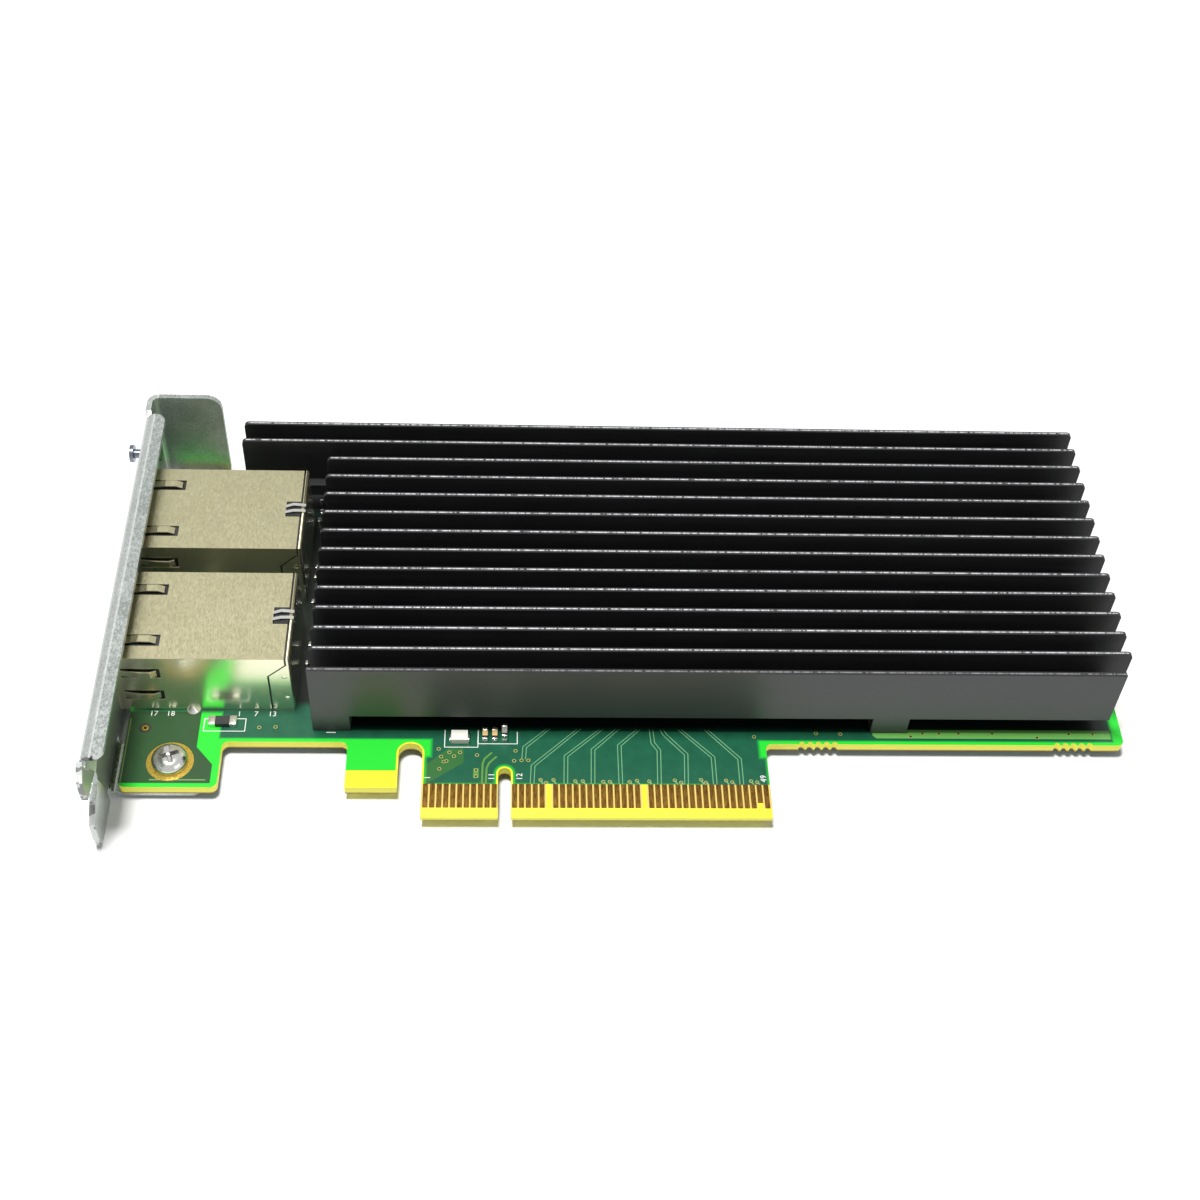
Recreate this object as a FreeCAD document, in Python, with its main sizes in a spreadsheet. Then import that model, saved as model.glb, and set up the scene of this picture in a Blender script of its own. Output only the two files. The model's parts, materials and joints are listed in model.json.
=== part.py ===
import FreeCAD, Part
import Sketcher
import os
from FreeCAD import Placement, Rotation, Vector

# A low-profile two-port network card, lying component side up.
# X runs along the card with 0 at the middle of the edge connector's key notch,
# Y runs from the connector's edge (0) to the far edge, and Z is 0 on the board's upper face.

doc = FreeCAD.newDocument("NetworkCard")
sheet = doc.addObject("Spreadsheet::Sheet", "Sizes")

drivingSizes = {
    # circuit board
    "boardThickness": 1.57,
    "boardLeftReach": 56.0,      # key notch to the edge behind the bracket
    "boardRightReach": 94.0,
    "boardDepth": 68.9,
    "boardCorner": 1.0,
    "shoulder": 13.0,            # connector edge to the long front edges
    "screwTabFront": 4.8,
    "screwTabWidth": 14.2,
    "hookFront": 4.85,
    "hookWidth": 7.6,
    "hookSlotWidth": 3.58,
    "hookSlotTop": 12.8,
    "keyWidth": 1.9,
    "keyTop": 8.4,
    "shortSection": 11.2,        # connector tongue left of the key
    "longSection": 38.2,         # and right of it
    "bevelLength": 1.3,
    "bevelDepth": 0.47,
    # gold contacts of the edge connector
    "padPitch": 1.0,
    "padWidth": 0.75,
    "padThickness": 0.05,
    "padStart": 1.35,
    "padEnd": 5.53,
    "shortPadStart": 2.3,
    "keyToPad": 0.55,            # key notch wall to the middle of the first pad
    # break-off bites along the long front edge
    "biteRadius": 0.42,
    "bitePitch": 1.25,
    "biteNear": 47.2,
    "biteFar": 86.2,
    # mounting bracket
    "sheet": 0.86,
    "bendRadius": 0.9,
    "bracketGap": 1.3,           # board edge to the bracket's inner face
    "bracketRise": 15.47,
    "bracketDrop": 2.95,
    "bracketFront": 3.9,
    "flangeGap": 1.3,            # board's far edge to the end flange
    "endFlange": 11.6,
    "endFlangeCorner": 2.4,
    "sideFlange": 3.4,
    "sideFlangeCorner": 1.7,
    "sideFlangeFront": 1.0,
    "sideFlangeFar": 66.5,
    "bendRelief": 0.8,
    "bracketChamfer": 2.0,
    "earFront": 5.0,
    "earWidth": 8.6,
    "earReach": 13.3,
    "earScrewInset": 8.33,         # bracket's inner face to its screws
    "farEarFront": 59.0,
    "windowGap": 0.25,
    # stud on the bracket's outer face
    "studShank": 1.5,
    "studHead": 2.9,
    "studHeadHeight": 0.6,
    "studReach": 3.6,
    "studRivet": 2.4,
    "studRivetHeight": 0.5,
    "studGap": 0.05,
    "studY": 66.6,
    "studZ": 6.3,
    # bracket screws
    "screwShank": 2.9,
    "screwHead": 5.3,
    "screwHeadHeight": 1.9,
    "screwTip": 0.3,
    "screwClearance": 0.1,
    # ports
    "portWidth": 16.8,
    "portHeight": 12.1,
    "portPitch": 21.75,
    "portInset": 5.9,            # long front edge to the first port
    "portProud": 0.45,           # port face beyond the bracket
    "portLength": 27.2,
    "shieldSheet": 0.25,
    "shieldSeam": 0.25,
    "coverTop": 0.55,
    "coverFlap": 3.3,
    "coverShoulder": 1.4,        # port's top to the slanted slit's upper end
    "coverBevel": 4.0,           # and to its lower end
    "coverCorner": 0.45,
    "clipWidth": 3.2,
    "clipLength": 2.2,
    "clipTongue": 1.6,
    "fingerWindow": 2.1,
    "fingerWindowLength": 5.7,
    "fingerSetback": 2.4,        # port face to the finger windows
    "fingerInset": 3.5,
    "fingerWidth": 1.25,
    "fingerRoot": 0.4,
    "fingerRise": 0.4,
    "fingerTipGap": 0.5,
    "sideFingerLow": 3.5,
    "sideFingerHigh": 8.6,
    "housingGap": 0.05,
    "housingLift": 0.3,
    "plugWidth": 11.9,
    "plugHeight": 6.7,
    "plugDepth": 13.5,
    "plugFloor": 3.0,
    "latchWidth": 6.2,
    "latchDepth": 1.5,
    "contactPitch": 1.016,
    "contactWire": 0.35,
    "contactLow": 8.6,
    "lensWidth": 3.2,
    "lensHeight": 1.5,
    "lensInset": 0.9,
    "pinSide": 0.5,
    "pinHoleSide": 0.8,
    "sealHole": 0.5,             # small plated hole beside the near port
    "sealHoleInset": 3.93,
    "sealHoleRise": 2.4,
    "pinPitch": 1.27,
    "pinRowPitch": 2.54,
    "lampPinInset": 0.2,
    "lampPinPitch": 2.2,
    "pinRow": 7.0,               # port's rear face to the pins
    "pinTail": 1.1,
    # heatsink
    "finTop": 14.3,
    "finPitch": 3.875,
    "finThickness": 0.75,
    "wallThickness": 0.8,
    "wallInset": 2.1,            # board's front edge to the heatsink's wall
    "wallShort": 1.7,            # how much shorter the wall is than the fins
    "wallToFin": 4.0,
    "portToFins": 2.8,
    "finEndInset": 1.1,
    "baseBottom": 3.5,
    "baseThickness": 2.4,
    "wingReach": 13.8,           # the two far fins pass behind the port
    "finTopRound": 0.8,
    "footWidth": 5.6,
    "footDepth": 5.6,
    "rightFootX": 55.2,
    "footHole": 1.25,
    "sinkScrewShank": 1.2,
    "sinkScrewHead": 2.6,
    "sinkScrewHeadHeight": 1.38,
    "sinkScrewGrip": 3.0,
    "sinkScrewHole": 1.5,
    # chips under the heatsink
    "substrate": 1.1,
    "controllerSide": 25.0,
    "controllerLid": 19.0,
    "controllerX": 24.0,
    "controllerY": 35.0,
    "transceiverSide": 23.0,
    "transceiverLid": 17.0,
    "transceiverX": 8.0,         # left of the key notch
    "transceiverY": 40.0,
    "lidHeight": 1.8,
    "inductorSide": 7.0,
    "inductorHeight": 3.0,
    "inductorX": 62.0,
    "inductorY": 24.0,
    "inductorPitch": 12.5,
    "driverSide": 5.0,
    "driverHeight": 0.9,
    "tankLength": 7.3,
    "tankWidth": 4.3,
    "tankHeight": 2.8,
    "chipLength": 5.0,
    "chipWidth": 4.0,
    "chipHeight": 1.6,
    "crystalLength": 5.0,
    "crystalWidth": 3.2,
    "crystalHeight": 1.1,
    "smallLength": 1.6,
    "smallWidth": 0.8,
    "smallHeight": 0.8,
    # parts along the front edge
    "suppressorInset": 10.64,    # port's rear face to its middle
    "suppressorY": 16.5,
    "suppressorLength": 4.2,
    "suppressorWidth": 1.9,
    "suppressorHeight": 1.2,
    "frontChipX": 6.75,          # left of the key notch
    "frontChipY": 13.65,
    "frontChipLength": 3.0,
    "frontChipWidth": 1.9,
    "frontChipHeight": 1.1,
    "frontRowX": 2.95,           # left of the key notch
    "frontRowY": 14.3,
    "frontRowPitch": 1.45,
    "frontRowLength": 2.3,
    "frontRowWidth": 0.85,
    "frontRowHeight": 0.8,
    "greyPartHeight": 1.6,
    "slotHigh": 8.9,             # upper tooth's tip
    "toothLead": 1.6,
    "toothBevel": 0.3,
    "slotLead": 0.55,
    "slotEnd": 2.0,
    "slotNose": 2.45,
    "slotLow": 5.9,
    "slotLeadIn": 3.6,
    "slotFlank": 2.8,
    "toothTip": 0.6,
    "earCorner": 1.5,
    "lensPins": 9.5,
    "tabHole": 0.85,
    "tabWidth": 1.2,
    "tabTail": 1.0,
    "groundTab": 15.2,           # port's rear face to the ground tabs
    "lensDrop": 0.4,
    "lensDepth": 6.0,
    "lensRecess": 0.1,
    "contactRun": 10.0,
    "contactDrop": 0.1,
    "contactBend": 0.6,
    "contactTip": 2.0,           # free end to the cavity's back
    "contactFall": 2.2,
    "wingLip": 1.4,
    "wingFootInset": 1.0,
    "farFootInset": 0.6,
    "driverFirst": 4.375,
    "inductorStep": 9.0,
    "tankStep": 19.0,
    "flashStepX": 22.0,
    "flashStepY": 10.0,
    "crystalStep": 18.0,
    "sideRow": 17.0,
    "smallPitch": 3.0,
}

finCount = 13
padsLeft = 11
padsRight = 38
missingPads = (17, 31)           # hot-plug contacts that this side leaves out
shortPads = (48,)
contactCount = 8
biteCount = 5


class Length:
    """A size that carries its spreadsheet expression and its value together."""

    def __init__(self, text, value):
        self.text = text
        self.value = value

    @staticmethod
    def of(other):
        return other if isinstance(other, Length) else Length(repr(float(other)), float(other))

    def __add__(self, other):
        other = Length.of(other)
        return Length(f"({self.text} + {other.text})", self.value + other.value)

    def __sub__(self, other):
        other = Length.of(other)
        return Length(f"({self.text} - {other.text})", self.value - other.value)

    def __mul__(self, other):
        other = Length.of(other)
        return Length(f"({self.text} * {other.text})", self.value * other.value)

    def __truediv__(self, other):
        other = Length.of(other)
        return Length(f"({self.text} / {other.text})", self.value / other.value)

    def __neg__(self):
        return Length(f"(0 - {self.text})", -self.value)

    def __radd__(self, other):
        return Length.of(other) + self

    def __rsub__(self, other):
        return Length.of(other) - self

    __rmul__ = __mul__


class Sizes:
    pass


s = Sizes()
for row, (alias, number) in enumerate(drivingSizes.items(), 1):
    sheet.set(f"A{row}", alias)
    sheet.set(f"B{row}", str(number))
    sheet.setAlias(f"B{row}", alias)
    setattr(s, alias, Length(f"Sizes.{alias}", float(number)))
doc.recompute()

zero = Length.of(0)
nodes = {}


def tie(item, prop, length):
    item.setExpression(prop, Length.of(length).text)


# ---- Part primitives -------------------------------------------------------

def place(item, x, y, z):
    for axis, length in zip("xyz", (x, y, z)):
        tie(item, f"Placement.Base.{axis}", length)


def box(name, x, y, z, dx, dy, dz):
    item = doc.addObject("Part::Box", name)
    tie(item, "Length", dx)
    tie(item, "Width", dy)
    tie(item, "Height", dz)
    place(item, x, y, z)
    return item


def centredBox(name, x, y, z, dx, dy, dz):
    x, y, dx, dy = (Length.of(v) for v in (x, y, dx, dy))
    return box(name, x - dx / 2, y - dy / 2, z, dx, dy, dz)


def cylinder(name, x, y, z, radius, height, turn=None):
    item = doc.addObject("Part::Cylinder", name)
    tie(item, "Radius", radius)
    tie(item, "Height", height)
    if turn:
        item.Placement = Placement(Vector(), turn)
    place(item, x, y, z)
    return item


def fuse(name, items):
    item = doc.addObject("Part::MultiFuse", name)
    item.Shapes = items
    return item


def group(name, items):
    item = doc.addObject("Part::Compound", name)
    item.Links = items
    return item


def node(name, item):
    item.Label = name
    nodes[name] = item
    return item


# ---- PartDesign helpers ----------------------------------------------------

def body(name):
    return doc.addObject("PartDesign::Body", name)


def sketchOn(part, plane, at=zero):
    """A sketch on one of the body's planes, moved along the plane's world axis."""
    at = Length.of(at)
    sketch = part.newObject("Sketcher::SketchObject", "Sketch")
    origin = [f for f in part.Origin.OriginFeatures if f.Role == plane + "_Plane"][0]
    sketch.AttachmentSupport = [(origin, "")]
    sketch.MapMode = "FlatFace"
    tie(sketch, "AttachmentOffset.Base.z", -at if plane == "XZ" else at)
    return sketch


def fixPoint(sketch, geo, end, point):
    for kind, axis, length in (("DistanceX", -2, point[0]), ("DistanceY", -1, point[1])):
        if abs(length.value) < 1e-9:
            sketch.addConstraint(Sketcher.Constraint("PointOnObject", geo, end, axis))
        else:
            index = sketch.addConstraint(Sketcher.Constraint(kind, -1, 1, geo, end, length.value))
            sketch.setExpression(f"Constraints[{index}]", length.text)


def polygon(sketch, points):
    points = [(Length.of(x), Length.of(y)) for x, y in points]
    corners = [Vector(x.value, y.value, 0) for x, y in points]
    first = sketch.GeometryCount
    for start, end in zip(corners, corners[1:] + corners[:1]):
        sketch.addGeometry(Part.LineSegment(start, end), False)
    count = len(points)
    for i in range(count):
        sketch.addConstraint(Sketcher.Constraint("Coincident", first + i, 2, first + (i + 1) % count, 1))
    for i, point in enumerate(points):
        fixPoint(sketch, first + i, 1, point)


def rectangle(sketch, left, low, right, high):
    polygon(sketch, [(left, low), (right, low), (right, high), (left, high)])


def circle(sketch, x, y, radius):
    x, y = Length.of(x), Length.of(y)
    geo = sketch.addGeometry(Part.Circle(Vector(x.value, y.value, 0), Vector(0, 0, 1), radius.value), False)
    fixPoint(sketch, geo, 3, (x, y))
    index = sketch.addConstraint(Sketcher.Constraint("Radius", geo, radius.value))
    sketch.setExpression(f"Constraints[{index}]", radius.text)


def pad(part, sketch, length, towards=1):
    """Extrude along the positive or negative world axis of the sketch's plane."""
    feature = part.newObject("PartDesign::Pad", "Pad")
    feature.Profile = sketch
    tie(feature, "Length", length)
    flipped = sketch.AttachmentSupport[0][0].Role == "XZ_Plane"
    feature.Reversed = (towards < 0) != flipped
    doc.recompute()
    return feature


def pocket(part, sketch, length, towards=1):
    before = part.Shape.Volume
    feature = part.newObject("PartDesign::Pocket", "Pocket")
    feature.Profile = sketch
    tie(feature, "Length", length)
    flipped = sketch.AttachmentSupport[0][0].Role == "XZ_Plane"
    feature.Reversed = (towards > 0) != flipped
    doc.recompute()
    if not part.Shape.Volume < before:
        raise RuntimeError(f"a pocket of {part.Name} removes nothing")
    return feature


def near(a, b, slack=0.02):
    return abs(a - Length.of(b).value) < slack


def roundEdges(part, radius, wanted):
    """Fillet the straight edges whose middle and main direction pass a test."""
    names = []
    for i, edge in enumerate(part.Shape.Edges, 1):
        if not isinstance(edge.Curve, Part.Line) or len(edge.Vertexes) < 2:
            continue
        run = edge.Vertexes[-1].Point - edge.Vertexes[0].Point
        if wanted(edge.CenterOfMass, "XYZ"[max(range(3), key=lambda k: abs(run[k]))]):
            names.append(f"Edge{i}")
    if not names:
        raise RuntimeError(f"no edge to round on {part.Name}")
    base = part.Tip
    feature = part.newObject("PartDesign::Fillet", "Fillet")
    feature.Base = (base, names)
    tie(feature, "Radius", radius)
    doc.recompute()


def repeat(part, feature, plane, sketchAxis, step, count):
    """Repeat one feature along its sketch's own axis."""
    pattern = part.newObject("PartDesign::LinearPattern", "LinearPattern")
    pattern.Originals = [feature]
    pattern.Direction = (feature.Profile[0], [sketchAxis])
    pattern.Reversed = plane == "XZ"
    tie(pattern, "Length", step * (count - 1))
    pattern.Occurrences = count
    part.Tip = pattern
    doc.recompute()


# ---- places shared by several pieces ---------------------------------------

boardLow = -s.boardThickness
keyEdge = s.keyWidth / 2
tongueLeft = -(keyEdge + s.shortSection)
tongueRight = keyEdge + s.longSection
hookRight = tongueLeft - s.hookSlotWidth
hookLeft = hookRight - s.hookWidth
screwTabRight = -s.boardLeftReach + s.screwTabWidth
bracketInner = -(s.boardLeftReach + s.bracketGap)
bracketOuter = bracketInner - s.sheet
portFace = bracketOuter - s.portProud
portRear = portFace + s.portLength
nearPortY = s.shoulder + s.portInset
farPortY = nearPortY + s.portPitch
farFlange = s.boardDepth + s.flangeGap + s.sheet
bendOuter = s.bendRadius + s.sheet
earTop = boardLow
earLow = earTop - s.sheet
earEnd = bracketInner + s.earReach
earScrewX = bracketInner + s.earScrewInset
earScrews = (s.earFront + s.earWidth / 2, s.farEarFront + s.earWidth / 2)
wallFront = s.shoulder + s.wallInset
finsFront = wallFront + s.wallToFin
finsBack = finsFront + s.finPitch * (finCount - 1) + s.finThickness
wingFront = finsFront + s.finPitch * (finCount - 2) - s.wingLip
finsLeft = portRear + s.portToFins
finsRight = s.boardRightReach - s.finEndInset
wingLeft = finsLeft - s.wingReach
footMiddle = s.footWidth / 2
sinkScrews = (
    (finsLeft + footMiddle, wallFront + s.footDepth / 2),
    (s.rightFootX + footMiddle, wallFront + s.footDepth / 2),
    (wingLeft + footMiddle + s.wingFootInset, finsBack - s.footDepth / 2 - s.farFootInset),
    (s.rightFootX + footMiddle, finsBack - s.footDepth / 2 - s.farFootInset),
)

# solder pins of one port, measured from its rear face and its front side
pinPlaces = [(s.pinRow + s.pinRowPitch * (i % 2), s.portWidth / 2 + s.pinPitch * (i - 4.5))
             for i in range(10)]
pinPlaces += [(s.portLength - s.lensPins, s.portWidth / 2 + side * (s.plugWidth / 2 - s.lampPinInset - step))
              for side in (-1, 1) for step in (zero, s.lampPinPitch)]
groundTabX = portRear - s.groundTab

# ---- circuit board ---------------------------------------------------------

board = body("Board")
outline = sketchOn(board, "XY", boardLow)
polygon(outline, [
    (-s.boardLeftReach, s.screwTabFront), (screwTabRight, s.screwTabFront),
    (screwTabRight, s.shoulder), (hookLeft, s.shoulder), (hookLeft, s.hookFront),
    (hookRight, s.hookFront), (hookRight, s.hookSlotTop), (tongueLeft, s.hookSlotTop),
    (tongueLeft, 0), (-keyEdge, 0), (-keyEdge, s.keyTop), (keyEdge, s.keyTop), (keyEdge, 0),
    (tongueRight, 0), (tongueRight, s.shoulder), (s.boardRightReach, s.shoulder),
    (s.boardRightReach, s.boardDepth), (-s.boardLeftReach, s.boardDepth),
])
pad(board, outline, s.boardThickness)
roundEdges(board, s.boardCorner, lambda c, axis: axis == "Z" and (
    near(c.x, -s.boardLeftReach) or near(c.x, s.boardRightReach) or near(c.x, screwTabRight)
    or (near(c.x, tongueRight) and near(c.y, s.shoulder))
    or (near(c.x, hookLeft) and near(c.y, s.shoulder))))
roundEdges(board, s.keyWidth * 0.46, lambda c, axis: axis == "Z" and near(c.y, s.keyTop))
roundEdges(board, s.hookSlotWidth * 0.46, lambda c, axis: axis == "Z" and near(c.y, s.hookSlotTop))
bevels = sketchOn(board, "YZ", tongueLeft)
polygon(bevels, [(0, 0), (0, -s.bevelDepth), (s.bevelLength, 0)])
polygon(bevels, [(0, boardLow), (s.bevelLength, boardLow), (0, boardLow + s.bevelDepth)])
pocket(board, bevels, s.shortSection + s.keyWidth + s.longSection)
holes = sketchOn(board, "XY", boardLow)
for y in earScrews:
    circle(holes, earScrewX, y, s.screwShank / 2 + s.screwClearance)
for x, y in sinkScrews:
    circle(holes, x, y, s.sinkScrewHole)
circle(holes, bracketInner + s.sealHoleInset, s.shoulder + s.sealHoleRise, s.sealHole)
for portY in (nearPortY, farPortY):
    for x, y in pinPlaces:
        rectangle(holes, portRear - x - s.pinHoleSide / 2, portY + y - s.pinHoleSide / 2,
                  portRear - x + s.pinHoleSide / 2, portY + y + s.pinHoleSide / 2)
    for y in (s.shieldSheet / 2, s.portWidth - s.shieldSheet / 2):
        circle(holes, groundTabX, portY + y, s.tabHole)
pocket(board, holes, s.boardThickness)
bites = sketchOn(board, "XY", boardLow)
for middle in (s.biteNear, s.biteFar):
    for i in range(biteCount):
        circle(bites, middle + s.bitePitch * (i - 2), s.shoulder, s.biteRadius)
pocket(board, bites, s.boardThickness)
node("circuit_board", board)

# ---- edge connector contacts -----------------------------------------------

padXs = {padsLeft - i: -(keyEdge + s.keyToPad + s.padPitch * i) for i in range(padsLeft)}
padXs.update({padsLeft + 1 + i: keyEdge + s.keyToPad + s.padPitch * i for i in range(padsRight)})


def contactPads(name, low, missing, short):
    pads = []
    for number, x in padXs.items():
        if number in missing:
            continue
        start = s.shortPadStart if number in short else s.padStart
        pads.append(box(f"Pad{low.text[-3:-1]}{number}", x - s.padWidth / 2, start, low,
                        s.padWidth, s.padEnd - start, s.padThickness))
    node(name, group("Group_" + name, pads))


contactPads("edge_contacts_component_side", zero, missingPads, shortPads)
contactPads("edge_contacts_solder_side", boardLow - s.padThickness, (), (1,))

# ---- bracket ---------------------------------------------------------------

windowLow = -s.windowGap
windowHigh = s.portHeight + s.windowGap
plateLow = -s.bracketDrop
reliefTop = earTop + s.bendRadius + 0.3

bracket = body("Bracket")
plate = sketchOn(bracket, "YZ", bracketOuter)
farEarBack = s.farEarFront + s.earWidth
nearEarBack = s.earFront + s.earWidth
sideBend = s.bracketRise - bendOuter - 0.2
polygon(plate, [
    (-s.bracketFront + s.toothTip, plateLow),
    (s.earFront - s.bendRelief, plateLow), (s.earFront - s.bendRelief, reliefTop),
    (s.earFront, reliefTop), (s.earFront, earLow), (nearEarBack, earLow),
    (nearEarBack, reliefTop), (nearEarBack + s.bendRelief, reliefTop),
    (nearEarBack + s.bendRelief, plateLow),
    (s.farEarFront - s.bendRelief, plateLow), (s.farEarFront - s.bendRelief, reliefTop),
    (s.farEarFront, reliefTop), (s.farEarFront, earLow), (farEarBack, earLow),
    (farEarBack, reliefTop), (farEarBack + s.bendRelief, reliefTop),
    (farEarBack + s.bendRelief, plateLow),
    (farFlange, plateLow), (farFlange, s.bracketRise),
    (s.sideFlangeFar + s.bendRelief, s.bracketRise), (s.sideFlangeFar + s.bendRelief, sideBend),
    (s.sideFlangeFar, sideBend), (s.sideFlangeFar, s.bracketRise),
    (-s.sideFlangeFront, s.bracketRise), (-s.sideFlangeFront, sideBend),
    (-s.sideFlangeFront - s.bendRelief, sideBend), (-s.sideFlangeFront - s.bendRelief, s.bracketRise),
    (-s.bracketFront + s.bracketChamfer, s.bracketRise),
    (-s.bracketFront, s.bracketRise - s.bracketChamfer),
    (-s.bracketFront, s.slotHigh + s.toothLead), (-s.bracketFront + s.toothBevel, s.slotHigh),
    (s.slotEnd, s.slotHigh - s.slotLead), (s.slotEnd, s.slotHigh - s.slotLead - s.slotNose),
    (-s.bracketFront + s.slotLeadIn, s.slotLow), (-s.bracketFront, s.slotLow - s.slotFlank),
    (-s.bracketFront, zero),
])
pad(bracket, plate, s.sheet)
endFlange = sketchOn(bracket, "XZ", farFlange)
rectangle(endFlange, bracketOuter, plateLow, bracketOuter + s.endFlange, s.bracketRise)
pad(bracket, endFlange, s.sheet, -1)
sideFlange = sketchOn(bracket, "XY", s.bracketRise)
rectangle(sideFlange, bracketOuter, -s.sideFlangeFront, bracketOuter + s.sideFlange, s.sideFlangeFar)
pad(bracket, sideFlange, s.sheet, -1)
ears = sketchOn(bracket, "XY", earLow)
rectangle(ears, bracketOuter, s.earFront, earEnd, nearEarBack)
rectangle(ears, bracketOuter, s.farEarFront, earEnd, farEarBack)
pad(bracket, ears, s.sheet)
windows = sketchOn(bracket, "YZ", bracketOuter)
for portY in (nearPortY, farPortY):
    rectangle(windows, portY - s.windowGap, windowLow, portY + s.portWidth + s.windowGap, windowHigh)
pocket(bracket, windows, s.sheet)
earHoles = sketchOn(bracket, "XY", earLow)
for y in earScrews:
    circle(earHoles, earScrewX, y, s.screwShank / 2 + s.screwClearance / 2)
pocket(bracket, earHoles, s.sheet)
studHole = sketchOn(bracket, "YZ", bracketOuter)
circle(studHole, s.studY, s.studZ, s.studShank / 2 + s.studGap)
pocket(bracket, studHole, s.sheet)
roundEdges(bracket, bendOuter, lambda c, axis: near(c.x, bracketOuter) and (
    (axis == "Z" and near(c.y, farFlange))
    or (axis == "Y" and near(c.z, s.bracketRise) and 5 < c.y < 60)
    or (axis == "Y" and near(c.z, earLow))))
roundEdges(bracket, s.bendRadius, lambda c, axis: near(c.x, bracketInner) and (
    (axis == "Z" and near(c.y, farFlange - s.sheet))
    or (axis == "Y" and near(c.z, s.bracketRise - s.sheet) and 5 < c.y < 60)
    or (axis == "Y" and near(c.z, earTop))))
roundEdges(bracket, s.sideFlangeCorner, lambda c, axis: axis == "Z"
           and near(c.x, bracketOuter + s.sideFlange))
roundEdges(bracket, s.earCorner, lambda c, axis: axis == "Z" and near(c.x, earEnd))
roundEdges(bracket, s.endFlangeCorner, lambda c, axis: axis == "Y"
           and near(c.x, bracketOuter + s.endFlange))
roundEdges(bracket, s.slotNose * 0.4, lambda c, axis: axis == "X" and near(c.y, s.slotEnd))
node("bracket", bracket)

sideways = Rotation(Vector(0, 1, 0), -90)
node("bracket_stud", fuse("Stud", [
    cylinder("StudShank", bracketInner, s.studY, s.studZ, s.studShank / 2, s.sheet + s.studReach, sideways),
    cylinder("StudRivet", bracketInner + s.studRivetHeight, s.studY, s.studZ,
             s.studRivet / 2, s.studRivetHeight, sideways),
    cylinder("StudHead", bracketOuter - s.studReach + s.studHeadHeight, s.studY, s.studZ,
             s.studHead / 2, s.studHeadHeight, sideways),
]))

screws = []
for i, y in enumerate(earScrews):
    length = s.boardThickness + s.sheet + s.screwTip
    screws.append(fuse(f"BracketScrew{i}", [
        cylinder(f"ScrewShank{i}", earScrewX, y, -length, s.screwShank / 2, length),
        cylinder(f"ScrewHead{i}", earScrewX, y, 0, s.screwHead / 2, s.screwHeadHeight),
    ]))
node("bracket_screws", group("BracketScrews", screws))

# ---- ports -----------------------------------------------------------------

plugFront = s.portWidth / 2 - s.plugWidth / 2
plugBack = s.portWidth / 2 + s.plugWidth / 2
plugTop = s.plugFloor + s.plugHeight
inner = s.shieldSheet + s.housingGap
lensSpots = (s.lensInset, s.portWidth - s.lensInset - s.lensWidth)


def springOutline(face, outwards):
    """A grounding spring in section: it leaves the sheet, bulges outwards and turns in at its tip."""
    root = portFace + s.fingerSetback
    tip = root + s.fingerWindowLength - s.fingerTipGap
    run = [(root - s.fingerRoot, zero), (root, zero), (root + s.fingerWindowLength * 0.45, s.fingerRise),
           (root + s.fingerWindowLength * 0.75, s.fingerRise), (tip, zero)]
    outer = [(x, face + rise * outwards) for x, rise in run]
    inside = [(x, face + (rise - s.shieldSheet) * outwards) for x, rise in run]
    return outer + inside[::-1]


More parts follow.
